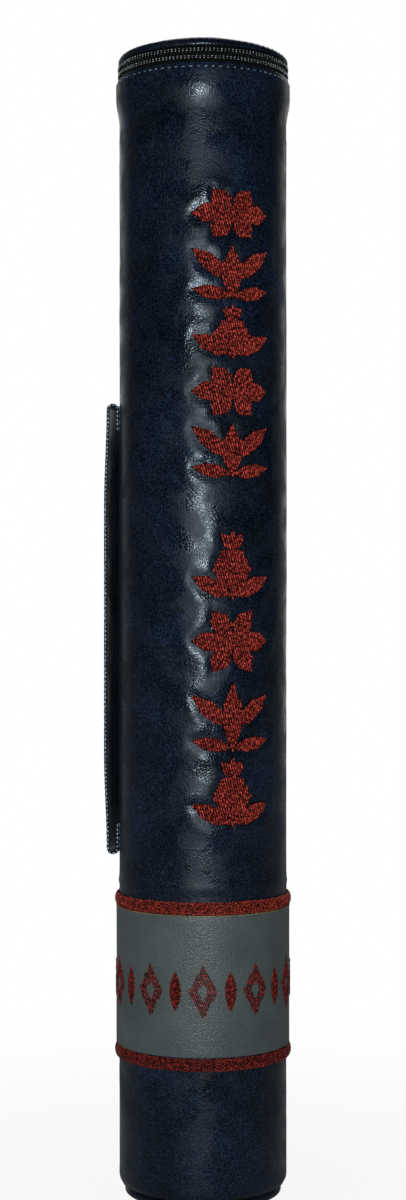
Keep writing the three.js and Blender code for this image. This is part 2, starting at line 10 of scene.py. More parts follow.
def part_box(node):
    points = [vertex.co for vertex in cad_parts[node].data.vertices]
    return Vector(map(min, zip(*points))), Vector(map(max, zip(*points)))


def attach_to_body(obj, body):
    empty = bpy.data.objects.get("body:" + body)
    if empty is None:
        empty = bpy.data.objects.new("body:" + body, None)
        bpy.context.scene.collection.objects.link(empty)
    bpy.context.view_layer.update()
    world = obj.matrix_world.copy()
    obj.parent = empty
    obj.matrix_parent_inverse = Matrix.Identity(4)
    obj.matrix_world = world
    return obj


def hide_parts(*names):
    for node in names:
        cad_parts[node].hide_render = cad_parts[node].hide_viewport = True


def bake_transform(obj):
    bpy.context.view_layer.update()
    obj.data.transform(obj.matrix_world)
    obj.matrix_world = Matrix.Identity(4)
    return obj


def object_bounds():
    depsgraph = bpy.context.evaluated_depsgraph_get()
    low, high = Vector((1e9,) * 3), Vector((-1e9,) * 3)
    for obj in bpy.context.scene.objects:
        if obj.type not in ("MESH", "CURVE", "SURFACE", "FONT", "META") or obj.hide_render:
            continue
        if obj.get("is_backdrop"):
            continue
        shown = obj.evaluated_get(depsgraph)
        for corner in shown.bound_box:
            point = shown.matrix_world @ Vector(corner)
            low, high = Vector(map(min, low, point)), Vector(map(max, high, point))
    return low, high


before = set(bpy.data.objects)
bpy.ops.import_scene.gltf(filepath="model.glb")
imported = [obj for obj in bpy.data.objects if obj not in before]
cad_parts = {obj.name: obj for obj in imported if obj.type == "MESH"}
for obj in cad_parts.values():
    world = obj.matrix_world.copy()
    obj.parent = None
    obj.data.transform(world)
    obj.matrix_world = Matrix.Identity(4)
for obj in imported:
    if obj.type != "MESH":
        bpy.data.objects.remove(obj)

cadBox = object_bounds()
mm = 0.001
upward = Vector((0, 0, 1))
# What several pieces follow: the wall's radius, the radius of the face that the band and the
# motifs lie on, and the height of the zip's middle.
caseUse = {"wall": 35.0, "seat": 35.3, "chain": 467.05}
print("frame loaded:", len(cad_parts), "nodes")

# Places round the case are an angle from the front (-Y, growing towards +X), a distance
# from the axis and a height, all lengths in millimetres.


def around(angle, radius, height):
    turn = math.radians(angle)
    return Vector((radius * math.sin(turn), -radius * math.cos(turn), height)) * mm


def smooth(low, high, value):
    share = min(max((value - low) / (high - low), 0), 1)
    return share * share * (3 - 2 * share)


# Camera: level, 12.5 degrees to the right of the front, as the photograph was taken

cameraSet = {"azimuth": 12.5, "distance": 880.7, "height": 245.5, "lens": 63.0, "shift": 0.0027}
camera = bpy.data.cameras.new("camera")
camera.lens = cameraSet["lens"]
camera.sensor_width = 36
camera.shift_y = cameraSet["shift"]
cameraObject = bpy.data.objects.new("camera", camera)
bpy.context.scene.collection.objects.link(cameraObject)
cameraObject.location = around(cameraSet["azimuth"], cameraSet["distance"], cameraSet["height"])
cameraObject.rotation_euler = (math.pi / 2, 0, math.radians(cameraSet["azimuth"]))
bpy.context.scene.camera = cameraObject
bpy.context.scene.view_settings.view_transform = "Standard"
print("camera placed")


# Materials

def linear(hexColour):
    channels = [int(hexColour[i:i + 2], 16) / 255 for i in (1, 3, 5)]
    lit = [c / 12.92 if c <= 0.04045 else ((c + 0.055) / 1.055) ** 2.4 for c in channels]
    return (*lit, 1)


def addNode(material, kind, inputs=None, stops=(), **settings):
    made = material.node_tree.nodes.new("ShaderNode" + kind)
    for name, value in settings.items():
        setattr(made, name, value)
    for key, value in (inputs or {}).items():
        if isinstance(value, bpy.types.NodeSocket):
            material.node_tree.links.new(value, made.inputs[key])
        else:
            made.inputs[key].default_value = value
    for i, (place, colour) in enumerate(stops):
        elements = made.color_ramp.elements
        element = elements[i] if i < len(elements) else elements.new(place)
        element.position = place
        element.color = linear(colour)
    return made


def newMaterial(name, colour, **settings):
    material = bpy.data.materials.new(name)
    material.use_nodes = True
    material.diffuse_color = linear(colour)
    shader = material.node_tree.nodes["Principled BSDF"]
    shader.inputs["Base Color"].default_value = linear(colour)
    for key, value in settings.items():
        shader.inputs[key.replace("_", " ")].default_value = value
    place = addNode(material, "TexCoord").outputs["Object"]
    return material, shader, place


def attach(shader, key, output):
    shader.id_data.links.new(output, shader.inputs[key])


# A pattern's scale, from the real size of one of its cells in millimetres.
def scaleFor(size):
    return 1000 / size


# Bonded leather, embossed and waxed: near-black navy with a paler blue in its worn patches,
# a network of fine creases, and a polish that breaks up where the grain is. Sizes and depths
# are in millimetres, creaseWidth is a share of a cell, and bend shifts the cells, in metres.
leatherSet = {
    "patchSize": 30, "polishPatch": 11, "wanderSize": 2.5, "bend": 0.002, "creaseCell": 1.4,
    "creaseWidth": 0.18, "grainCell": 0.62, "creaseDepth": 0.05, "grainDepth": 0.07,
    "dark": "#03060c", "mid": "#060b14", "worn": "#0a1321", "crease": "#2a3e5e",
}


def navyLeather(name, creases, gloss=0.32):
    use = leatherSet
    material, shader, place = newMaterial(
        name, use["mid"], Specular_IOR_Level=gloss, Specular_Tint=linear("#d6e9f6"),
        Sheen_Weight=0.025, Sheen_Roughness=0.3, Sheen_Tint=linear("#93a39c"))
    patches = addNode(material, "TexNoise", {
        "Vector": place, "Scale": scaleFor(use["patchSize"]), "Detail": 4, "Roughness": 0.62})
    wander = addNode(material, "TexNoise", {
        "Vector": place, "Scale": scaleFor(use["wanderSize"]), "Detail": 2})
    bent = addNode(material, "MixRGB", {
        "Fac": use["bend"], "Color1": place, "Color2": wander.outputs["Color"]}, blend_type="ADD")
    cells = addNode(material, "TexVoronoi", {
        "Vector": bent.outputs["Color"], "Scale": scaleFor(use["creaseCell"]), "Randomness": 1},
        feature="DISTANCE_TO_EDGE")
    crease = addNode(material, "MapRange", {
        "Value": cells.outputs["Distance"], "From Min": 0, "From Max": use["creaseWidth"],
        "To Min": 1, "To Max": 0}, interpolation_type="SMOOTHSTEP")
    grain = addNode(material, "TexNoise", {
        "Vector": place, "Scale": scaleFor(use["grainCell"]), "Detail": 3, "Roughness": 0.65})
    tone = addNode(material, "ValToRGB", {"Fac": patches.outputs["Fac"]}, stops=(
        (0.36, use["dark"]), (0.52, use["mid"]), (0.7, use["worn"])))
    wornShare = addNode(material, "MapRange", {
        "Value": patches.outputs["Fac"], "From Min": 0.34, "From Max": 0.66,
        "To Min": 0.5 * creases, "To Max": creases})
    fine = addNode(material, "MapRange", {
        "Value": grain.outputs["Fac"], "From Min": 0.38, "From Max": 0.6})
    inCrease = addNode(material, "Math", {
        0: crease.outputs["Result"], 1: wornShare.outputs["Result"]}, operation="MULTIPLY")
    speckled = addNode(material, "Math", {
        0: inCrease.outputs["Value"], 1: fine.outputs["Result"]}, operation="MULTIPLY")
    colour = addNode(material, "MixRGB", {
        "Fac": speckled.outputs["Value"], "Color1": tone.outputs["Color"],
        "Color2": linear(use["crease"])})
    attach(shader, "Base Color", colour.outputs["Color"])
    handled = addNode(material, "TexNoise", {
        "Vector": place, "Scale": scaleFor(use["polishPatch"]), "Detail": 2})
    dulled = addNode(material, "MapRange", {
        "Value": handled.outputs["Fac"], "From Min": 0.42, "From Max": 0.58,
        "To Min": 0, "To Max": 0.22})
    polish = addNode(material, "MapRange", {
        "Value": grain.outputs["Fac"], "From Min": 0.3, "From Max": 0.7,
        "To Min": 0.12, "To Max": 0.28})
    roughness = addNode(material, "Math", {
        0: polish.outputs["Result"], 1: dulled.outputs["Result"]}, operation="ADD")
    attach(shader, "Roughness", roughness.outputs["Value"])
    pressed = addNode(material, "Bump", {
        "Height": crease.outputs["Result"], "Strength": 0.5,
        "Distance": use["creaseDepth"] * mm}, invert=True)
    pebbled = addNode(material, "Bump", {
        "Height": grain.outputs["Fac"], "Strength": 0.8, "Distance": use["grainDepth"] * mm,
        "Normal": pressed.outputs["Normal"]})
    attach(shader, "Normal", pebbled.outputs["Normal"])
    return material


# Split leather with a stamped pebble grain: a flat slate grey whose small bumps catch a soft
# light. Its colour is painted darker between the pebbles: painted shade in the hollows.
slateSet = {
    "pebble": 0.72, "pebbleDepth": 0.18, "mottle": 18, "body": "#475152", "dark": "#424b4c",
    "pale": "#4c5657",
}


def slateLeather():
    use = slateSet
    material, shader, place = newMaterial(
        "slate_pebbled_leather", use["body"], Specular_IOR_Level=0.4, Roughness=0.42)
    pebbles = addNode(material, "TexVoronoi", {
        "Vector": place, "Scale": scaleFor(use["pebble"]), "Smoothness": 0.5},
        feature="SMOOTH_F1")
    mottle = addNode(material, "TexNoise", {
        "Vector": place, "Scale": scaleFor(use["mottle"]), "Detail": 3})
    tone = addNode(material, "ValToRGB", {"Fac": mottle.outputs["Fac"]}, stops=(
        (0.3, use["dark"]), (0.7, use["pale"])))
    # Painted shade: the colour is darkened in the hollows between the pebbles.
    hollowShade = addNode(material, "MapRange", {
        "Value": pebbles.outputs["Distance"], "From Min": 0.1, "From Max": 0.75,
        "To Min": 1, "To Max": 0.82})
    colour = addNode(material, "MixRGB", {
        "Fac": 1, "Color1": tone.outputs["Color"], "Color2": hollowShade.outputs["Result"]},
        blend_type="MULTIPLY")
    attach(shader, "Base Color", colour.outputs["Color"])
    bump = addNode(material, "Bump", {
        "Height": pebbles.outputs["Distance"], "Strength": 1,
        "Distance": use["pebbleDepth"] * mm}, invert=True)
    attach(shader, "Normal", bump.outputs["Normal"])
    return material


# Rayon machine embroidery thread: each stitch is a bright ridge beside a dark gap, and its
# twisted filaments glint. Its colour is painted in pale and dark stretches, painted glints
# and painted shade; glint is the length of one stretch, and the twist repeats three to four
# times in a millimetre.
def rayonThread(name, dark, body, bright, glint=0.75):
    material, shader, place = newMaterial(
        name, body, Roughness=0.36, Specular_IOR_Level=0.35, Specular_Tint=linear("#ffb09a"))
    # Pale and dark stretches of colour: painted glints and painted shade on the thread.
    glintShadeNoise = addNode(material, "TexNoise", {"Vector": place, "Scale": scaleFor(glint), "Detail": 0})
    tone = addNode(material, "ValToRGB", {"Fac": glintShadeNoise.outputs["Fac"]}, stops=(
        (0.3, dark), (0.5, body), (0.72, bright)))
    attach(shader, "Base Color", tone.outputs["Color"])
    twist = addNode(material, "TexWave", {
        "Vector": place, "Scale": scaleFor(0.9), "Distortion": 1.5, "Detail": 1},
        bands_direction="DIAGONAL")
    bump = addNode(material, "Bump", {
        "Height": twist.outputs["Fac"], "Strength": 0.35, "Distance": 0.05 * mm})
    attach(shader, "Normal", bump.outputs["Normal"])
    return material


# Polyester sewing thread, waxed: pale and a little dull, darker in patches where the twist
# turns under: painted shade.
def sewingThread(name, dark, pale):
    material, shader, place = newMaterial(name, pale, Roughness=0.5)
    twist = addNode(material, "TexNoise", {"Vector": place, "Scale": scaleFor(0.7), "Detail": 1})
    tone = addNode(material, "ValToRGB", {"Fac": twist.outputs["Fac"]}, stops=(
        (0.35, dark), (0.6, pale)))
    attach(shader, "Base Color", tone.outputs["Color"])
    return material


# Woven cloth: crossed threads that show as fine ribs. The thread spacing is drawn at the
# given size, coarser than the real 0.3 mm so that it shows.
def wovenCloth(name, colour, shade, spacing, roughness, sheen=0.2, gloss=0.4):
    material, shader, place = newMaterial(
        name, colour, Roughness=roughness, Specular_IOR_Level=gloss, Sheen_Weight=sheen,
        Sheen_Roughness=0.5)
    scale = 300 / spacing      # a wave repeats about three times as often as noise does
    ribs = [addNode(material, "TexWave", {
        "Vector": place, "Scale": scale, "Distortion": 0.4}, bands_direction=way)
        for way in ("Z", "DIAGONAL")]
    crossed = addNode(material, "Math", {
        0: ribs[0].outputs["Fac"], 1: ribs[1].outputs["Fac"]}, operation="MULTIPLY")
    tone = addNode(material, "ValToRGB", {"Fac": crossed.outputs["Value"]}, stops=(
        (0.1, shade), (0.7, colour)))
    attach(shader, "Base Color", tone.outputs["Color"])
    bump = addNode(material, "Bump", {
        "Height": crossed.outputs["Value"], "Strength": 0.5, "Distance": 0.15 * mm})
    attach(shader, "Normal", bump.outputs["Normal"])
    return material


# Moulded nylon: black, with the faint unevenness of a drawn filament.
def nylon():
    material, shader, place = newMaterial(
        "black_nylon_filament", "#0a0c0d", Specular_IOR_Level=0.22)
    drawn = addNode(material, "TexNoise", {"Vector": place, "Scale": scaleFor(0.6), "Detail": 2})
    polish = addNode(material, "MapRange", {
        "Value": drawn.outputs["Fac"], "To Min": 0.28, "To Max": 0.5})
    attach(shader, "Roughness", polish.outputs["Result"])
    tone = addNode(material, "ValToRGB", {"Fac": drawn.outputs["Fac"]}, stops=(
        (0.3, "#060708"), (0.7, "#0e1112")))
    attach(shader, "Base Color", tone.outputs["Color"])
    return material


# Grey chipboard: rolled paper, matte, with dark and pale fibres.
def chipboard():
    material, shader, place = newMaterial("rolled_grey_chipboard", "#8b8577", Roughness=0.92)
    fibre = addNode(material, "TexNoise", {
        "Vector": place, "Scale": scaleFor(1.4), "Detail": 5, "Roughness": 0.75})
    tone = addNode(material, "ValToRGB", {"Fac": fibre.outputs["Fac"]}, stops=(
        (0.3, "#6f6a5e"), (0.5, "#8b8577"), (0.72, "#a49e8f")))
    attach(shader, "Base Color", tone.outputs["Color"])
    bump = addNode(material, "Bump", {
        "Height": fibre.outputs["Fac"], "Strength": 0.3, "Distance": 0.1 * mm})
    attach(shader, "Normal", bump.outputs["Normal"])
    return material


# Die-cast zinc with a black nickel plate: dark, bright on its rubbed edges, cloudy from
# handling.
def blackNickel():
    material, shader, place = newMaterial("black_nickel_plated_zinc", "#4a4e52", Metallic=1)
    handled = addNode(material, "TexNoise", {
        "Vector": place, "Scale": scaleFor(3), "Detail": 4, "Roughness": 0.6})
    polish = addNode(material, "MapRange", {
        "Value": handled.outputs["Fac"], "From Min": 0.3, "From Max": 0.7,
        "To Min": 0.24, "To Max": 0.42})
    attach(shader, "Roughness", polish.outputs["Result"])
    edge = addNode(material, "NewGeometry")
    tone = addNode(material, "ValToRGB", {"Fac": edge.outputs["Pointiness"]}, stops=(
        (0.48, "#33373a"), (0.52, "#5a5f63"), (0.56, "#9a9c98")))
    attach(shader, "Base Color", tone.outputs["Color"])
    return material


leatherFinish = navyLeather("navy_waxed_leather", 0.6)
lidFinish = navyLeather("navy_lid_leather", 0.35)
strapFinish = navyLeather("navy_strap_leather", 0.3, 0.1)
slateFinish = slateLeather()
crimsonFinish = rayonThread("crimson_rayon_thread", "#2a0808", "#6e1f1c", "#c2473c")
pipingFinish = rayonThread("crimson_piping_thread", "#160304", "#4a1213", "#d2503f", 0.42)
# The lower piping's crimson, painted darker: painted shade.
shadedPipingFinish = rayonThread("shaded_piping_thread", "#100203", "#340d0f", "#a83a30", 0.42)
maroonFinish = rayonThread("maroon_rayon_thread", "#170305", "#430e11", "#85241f")
# The backing under the stitches is real, but its near-black colour is painted shade for the gaps
# between stitches.
paddingShadeFinish = wovenCloth("maroon_embroidery_backing", "#180405", "#0a0202", 0.5, 0.9, 0, 0.15)
stitchFinish = sewingThread("pale_blue_polyester_thread", "#22303f", "#8199aa")
lidStitchFinish = sewingThread("navy_polyester_thread", "#141d2c", "#2c3d55")
zipStitchFinish = sewingThread("grey_teal_zip_thread", "#3a4547", "#b2bfc0")
edgeDotFinish = sewingThread("pale_blue_edge_thread", "#43566b", "#a4b8ca")
tapeFinish = wovenCloth("black_zip_tape", "#090b0c", "#030404", 0.55, 0.9, 0.02, 0.12)
liningFinish = wovenCloth("navy_cotton_lining", "#1f2c4a", "#101830", 0.8, 0.95)
edgeFinish = sewingThread("raw_leather_edge", "#4a4430", "#77704e")
nylonFinish = nylon()
boardFinish = chipboard()
nickelFinish = blackNickel()
print("materials made")


# Makers of pieces

def addPiece(name, bm, material, body, replaced=()):
    mesh = bpy.data.meshes.new(name)
    bm.to_mesh(mesh)
    bm.free()
    mesh.shade_smooth()
    mesh.materials.append(material)
    piece = bpy.data.objects.new(name, mesh)
    bpy.context.scene.collection.objects.link(piece)
    if body:
        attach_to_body(piece, body)
    if replaced:
        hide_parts(*replaced)
    return piece


# A profile of (radius, height) pairs, its long sides cut into steps, spun round the axis.
# Sides within the hidden radius, which nobody sees, are cut eight times as long.
def spun(profile, steps, cut, fromAngle=0.0, toAngle=360.0, join=True, hiddenRadius=0.0):
    bm = bmesh.new()
    corners = [bm.verts.new(around(fromAngle, r, z)) for r, z in profile]
    pairs = list(zip(corners, corners[1:] + corners[:1] if join else corners[1:]))
    sides = [bm.edges.new(pair) for pair in pairs]
    for side in sides:
        hidden = all(vertex.co.xy.length < hiddenRadius * mm for vertex in side.verts)
        count = int(side.calc_length() / ((cut * 8 if hidden else cut) * mm))
        if count:
            bmesh.ops.subdivide_edges(bm, edges=[side], cuts=count)
    whole = toAngle - fromAngle >= 360
    bmesh.ops.spin(
        bm, geom=bm.verts[:] + bm.edges[:], cent=(0, 0, 0), axis=(0, 0, 1),
        angle=math.radians(toAngle - fromAngle), steps=steps, use_merge=whole)
    bmesh.ops.remove_doubles(bm, verts=bm.verts, dist=1e-6)
    if not whole:
        openEdges = [edge for edge in bm.edges if edge.is_boundary]
        bmesh.ops.triangle_fill(bm, use_beauty=True, edges=openEdges)
    bmesh.ops.recalc_face_normals(bm, faces=bm.faces)
    return bm


# Points of a round stretch of a profile, or with a rise of its own an oval one.
def arc(centreRadius, centreHeight, width, fromTurn, toTurn, steps, rise=None):
    rise = width if rise is None else rise
    turns = [math.radians(fromTurn + (toTurn - fromTurn) * i / steps) for i in range(steps + 1)]
    return [(centreRadius + width * math.cos(t), centreHeight + rise * math.sin(t))
            for t in turns]


waveRadius = 36.0      # where the slack's waves are measured


# Angle from the front in degrees, distance from the axis and height of a vertex.
def placeOf(vertex):
    x, y, z = vertex.co / mm
    return math.degrees(math.atan2(x, -y)), math.hypot(x, y), z


# Moves each vertex in or out, to the radius that a function of its place gives.
def reshape(bm, radiusAt):
    for vertex in bm.verts:
        angle, radius, height = placeOf(vertex)
        newRadius = radiusAt(angle, radius, height)
        if newRadius != radius:
            vertex.co = around(angle, newRadius, height)


# Uneven slack of a soft sheet round the case, from waves of (depth, size, seed).
def ripple(angle, height, *waves):
    turn = math.radians(angle)
    total = 0
    for depth, size, seed in waves:
        ring = waveRadius / size
        total += depth * noise.noise(
            (ring * math.sin(turn) + seed, ring * math.cos(turn), height / size))
    return total


# One stitch: a thread that sinks in at both ends. Along and out are directions. The places
# are kept in a list, and stitched makes them all into one mesh.
def addStitch(places, centre, along, out, length, width, rise):
    side = along.cross(out).normalized()
    out = side.cross(along).normalized()
    turn = Matrix((side * width, out * rise, along.normalized() * length)).transposed()
    places.append(Matrix.Translation(centre) @ (turn * mm).to_4x4())


def stitched(places):
    bm = bmesh.new()
    bmesh.ops.create_uvsphere(bm, u_segments=6, v_segments=4, radius=0.5)
    threads = [bm.verts[:]]
    while len(threads) < len(places):
        copied = bmesh.ops.duplicate(bm, geom=bm.verts[:] + bm.edges[:] + bm.faces[:])
        twin = copied["vert_map"]
        threads += [[twin[vertex] for vertex in thread] for thread in threads]
    spare = [vertex for thread in threads[len(places):] for vertex in thread]
    for place, thread in zip(places, threads):
        for vertex in thread:
            vertex.co = place @ vertex.co
    bmesh.ops.delete(bm, geom=spare, context="VERTS")
    return bm


def outward(angle):
    return around(angle, 1 / mm, 0)


def sideways(angle):
    return around(angle + 90, 1 / mm, 0)


# Rows of stitches that fill a shape laid round the wall. inside(along, height) tells where
# the shape is; rows lean a little, and each starts at another place than its neighbour.
fillUse = {
    "leastRun": 0.5, "leastEnd": 0.8, "overlap": 0.5, "spread": 0.15, "tilt": 0.06,
    "turn": 0.35, "sunk": 0.08, "proud": 0.1, "firstShares": (0.35, 0.65, 0.95),
}


def runsInside(inside, start, low, high, use):
    middle = (low + high) / 2
    runs, opened = [], None
    height = low
    while height <= high + use["probe"]:
        along = start + use["lean"] * (height - middle)
        within = height <= high and inside(along, height)
        if within and opened is None:
            opened = height
        if not within and opened is not None:
            runs.append((opened, height - use["probe"]))
            opened = None
        height += use["probe"]
    return [(bottom, top) for bottom, top in runs if top - bottom >= fillUse["leastRun"]]


def fillWithStitches(places, inside, middleAngle, halfWidth, low, high, use, draw):
    degreesPerMm = math.degrees(1 / use["radius"])
    middle = (low + high) / 2
    reach = abs(use["lean"]) * (high - low) / 2
    spread, tilt, turn = fillUse["spread"], fillUse["tilt"], fillUse["turn"]
    count = int((2 * halfWidth + 2 * reach) / use["pitch"])
    for row in range(count + 1):
        start = -halfWidth - reach + row * use["pitch"]
        for bottom, top in runsInside(inside, start, low, high, use):
            marks = [bottom]
            mark = bottom + use["length"] * fillUse["firstShares"][row % 3]
            while mark < top - fillUse["leastEnd"]:
                marks.append(mark)
                mark += use["length"] * draw.uniform(1 - spread, 1 + spread)
            marks.append(top)
            for below, above in zip(marks, marks[1:]):
                height = (below + above) / 2
                along = start + use["lean"] * (height - middle)
                angle = middleAngle + along * degreesPerMm
                run = upward + sideways(angle) * (use["lean"] + draw.uniform(-tilt, tilt))
                out = outward(angle) + sideways(angle) * draw.uniform(-turn, turn)
                radius = use["radius"] + draw.uniform(-fillUse["sunk"], fillUse["proud"])
                addStitch(
                    places, around(angle, radius, height), run, out,
                    above - below + fillUse["overlap"], use["width"], use["rise"])


# Embroidered motifs: padded satin fill over the solids' own outlines

motifUse = {
    "radius": 35.75, "lean": -0.25, "pitch": 1.0, "probe": 0.25, "length": 2.5,
    "width": 0.88, "rise": 0.8, "halfWidth": 17.6, "middleAngle": 32.0,
    "wallRadius": caseUse["seat"], "rayFrom": 45.0, "rayLength": 15.0, "feltDrop": 0.55,
    "rimReach": 18.0, "rimMargin": 1.0, "rimStep": 0.6,
}


def motifTest(name, use):
    bm = bmesh.new()
    bm.from_mesh(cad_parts[name].data)
    tree = BVHTree.FromBMesh(bm)
    bm.free()

    def inside(along, height):
        angle = use["middleAngle"] + math.degrees(along / use["wallRadius"])
        hit = tree.ray_cast(
            around(angle, use["rayFrom"], height), -outward(angle), use["rayLength"] * mm)
        return hit[0] is not None
    return inside


# The felt under the stitches, from the solid, lowered so that they hide it. Its near-black
# colour is painted shade, where the gaps between stitches show it.
def feltUnder(name, use):
    bm = bmesh.new()
    bm.from_mesh(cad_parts[name].data)
    bmesh.ops.remove_doubles(bm, verts=bm.verts, dist=1e-6)
    reshape(bm, lambda angle, radius, height: radius - use["feltDrop"])
    addPiece(name + "_felt", bm, paddingShadeFinish, "case_body")


# Points on a motif's outline, as (along the wall, height).
def rimPoints(inside, low, high, use):
    step, reach, margin = use["rimStep"], use["rimReach"], use["rimMargin"]
    points = []
    for column in range(int(2 * reach / step)):
        was = False
        for row in range(int((high - low + 2 * margin) / step)):
            along, height = -reach + column * step, low - margin + row * step
            now = inside(along, height)
            if now != was:
                points.append((along, height - step / 2))
            was = now
    return points


use = motifUse
rims, motifTests = [], []
for name in sorted(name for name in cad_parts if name.startswith("embroidered_motif")):
    inside = motifTest(name, use)
    low, high = (corner.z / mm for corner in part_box(name))
    motifTests.append((low, high, inside))
    places = []
    draw = random.Random(name)
    fillWithStitches(
        places, inside, use["middleAngle"], use["halfWidth"], low, high, use, draw)
    feltUnder(name, use)
    addPiece(name + "_stitches", stitched(places), crimsonFinish, "case_body",
             [name])
    rims += rimPoints(inside, low, high, use)
rimTree = KDTree(len(rims))
for i, (along, height) in enumerate(rims):
    rimTree.insert((along, height, 0), i)
rimTree.balance()
print("motifs stitched:", len(rims), "rim points")


# Cover: the leather round the tube, turned under at the foot and over the tape at the top.
# It puffs up beside the stitching and sinks at its edge, climbs onto the upper piping, and
# widens to a collar, sooner at the back than in front.

coverUse = {
    "steps": 240, "cut": 1.7, "wallRadius": caseUse["wall"], "collarRadius": 36.4,
    "innerRadius": 33.8, "sleeveRadius": 34.5, "sleeveBottom": 451.2, "turnInRadius": 26.5,
    "foot": 2.9, "innerFoot": 4.1, "footRounding": 4.6, "slackFrom": 9.0, "slackDrop": 1.0,
    "bandTop": 124.85, "bandZone": (53.0, 129.0), "climb": 0.9, "climbRun": 5.0,
    "flareLow": 438.5, "flareHigh": 456.0, "flareRun": 11.0, "backDrop": 3.0, "backRun": 3.5,
    "frontAngle": 110.0, "backAngle": 150.0, "calmAngle": 147.0, "calmRun": 9.0,
    "flareSteps": 18, "top": 463.9, "lipFoot": 3.2, "lipBend": 2.4, "lipEase": 0.12,
    "lipRounding": 1.35, "lipRadius": 35.9, "sleeveGap": 0.1, "sleeveStep": 0.3,
    "wallSlack": ((0.16, 42, 1.7), (0.08, 15, 8.2), (0.07, 9, 3.9)),
    "collarSlack": (0.22, 24, 4.4),
}
puffUse = {
    "reach": 28.0, "zone": (140.0, 430.0), "limit": 12.0, "rise": 0.36, "at": 3.4,
    "width": 2.8, "share": 0.75, "shareSpread": 0.5, "spreadSize": 6.0, "sink": 0.4,
    "sinkWidth": 1.1, "underStitches": -0.3,
}


def coverProfile(use):
    wall, collar, top = use["wallRadius"], use["collarRadius"], use["top"]
    foot = arc(wall - use["footRounding"], use["foot"] + use["footRounding"],
               use["footRounding"], -90, 0, 9)
    flare = [(wall, use["flareLow"] + (use["flareHigh"] - use["flareLow"]) * i / use["flareSteps"])
             for i in range(use["flareSteps"])]
    rounding = use["lipRounding"]
    lip = arc(use["lipRadius"] - rounding, top - rounding, rounding, 0, 88, 6)
    return [
        (use["turnInRadius"], use["foot"]), *foot, *flare, (collar, use["flareHigh"]),
        (collar, top - use["lipFoot"]), (collar - use["lipEase"], top - use["lipBend"]), *lip,
        (use["sleeveRadius"], top - use["sleeveGap"]), (use["sleeveRadius"], use["sleeveBottom"]),
        (use["innerRadius"], use["sleeveBottom"] - use["sleeveStep"]),
        (use["innerRadius"], use["innerFoot"]), (use["turnInRadius"], use["innerFoot"]),
    ]


def puffed(along, height, use):
    gap = rimTree.find((along, height, 0))[2]
    if gap is None or gap > use["limit"]:
        return 0
    for low, high, inside in motifTests:
        if low <= height <= high and inside(along, height):
            return use["underStitches"]
    rise = use["rise"] * math.exp(-((gap - use["at"]) / use["width"]) ** 2)
    spot = (along / use["spreadSize"], height / use["spreadSize"], 3.1)
    share = use["share"] + use["shareSpread"] * noise.noise(spot)
    return rise * share - use["sink"] * math.exp(-(gap / use["sinkWidth"]) ** 2)


def coverRadius(angle, radius, height):
    use = coverUse
    slackTo = use["top"] - use["slackDrop"]
    if radius < use["wallRadius"] - 0.3 or not use["slackFrom"] <= height <= slackTo:
        return radius
    slack = ripple(angle, height, *use["wallSlack"])
    if height > use["bandTop"]:
        slack += use["climb"] * math.exp(-((height - use["bandTop"]) / use["climbRun"]) ** 2)
    if height > use["flareLow"]:
        toBack = 1 - smooth(use["backAngle"], use["frontAngle"], abs(angle))
        high = use["flareHigh"] - use["backDrop"] * toBack
        low = high - use["flareRun"] - use["backRun"] * toBack
        if height < use["flareHigh"]:
            grown = (use["collarRadius"] - use["wallRadius"]) * smooth(low, high, height)
            radius = use["wallRadius"] + grown
        calm = smooth(use["calmRun"], 0, abs(angle) - use["calmAngle"])
        slack = ripple(angle, height, use["collarSlack"]) * calm
    elif use["bandZone"][0] < height < use["bandZone"][1]:
        slack = min(slack, 0)
    turned = (angle - motifUse["middleAngle"] + 180) % 360 - 180
    along = math.radians(turned) * use["wallRadius"]
    if abs(along) < puffUse["reach"] and puffUse["zone"][0] < height < puffUse["zone"][1]:
        slack += puffed(along, height, puffUse)
    return radius + slack


use = coverUse
bm = spun(coverProfile(use), use["steps"], use["cut"], hiddenRadius=use["innerRadius"] + 0.1)
reshape(bm, coverRadius)
addPiece("leather_cover", bm, leatherFinish, "case_body", ["body_cover"])


# Base disc: a board wrapped in the same leather

discUse = {"radius": 32.6, "thickness": 2.6, "edge": 0.9, "ease": 0.3, "steps": 120, "cut": 6}
use = discUse
bm = spun([
    (0, 0), (use["radius"] - use["edge"], 0),
    *arc(use["radius"] - use["edge"], use["edge"], use["edge"], -80, 0, 5),
    (use["radius"], use["thickness"] - use["ease"]),
    (use["radius"] - use["ease"], use["thickness"]), (0, use["thickness"])],
    use["steps"], use["cut"], join=False)
addPiece("wrapped_base_disc", bm, leatherFinish, "case_body", ["base_disc"])
print("cover and base disc spun")


# Grey band, with its raw edge at the top and a stitched border of lozenges and leaves

bandUse = {
    "bottom": 62.3, "top": 119.6, "inner": caseUse["seat"], "face": 36.2, "rounding": 0.5,
    "steps": 200, "cut": 2.5, "slack": ((0.1, 30, 2.9), (0.04, 8, 5.5)), "rawInset": 0.1,
    "rawRadius": 0.28, "rawSteps": 160, "rawCut": 2,
}
borderUse = {
    "radius": 36.25, "lean": 0.4, "pitch": 0.8, "probe": 0.25, "length": 2.0, "width": 0.74,
    "rise": 0.5, "middle": 89.0, "firstAngle": 12.5, "repeats": 10, "clear": 0.4,
    "lozengeHalfWidth": 6.0, "lozengeHalfHeight": 11.0, "eyeShare": 0.34,
    "leafHalfWidth": 2.4, "leafHalfHeight": 8.0,
}


def bandRadius(angle, radius, height):
    if radius <= bandUse["inner"] + 0.5:
        return radius
    return radius + ripple(angle, height, *bandUse["slack"])


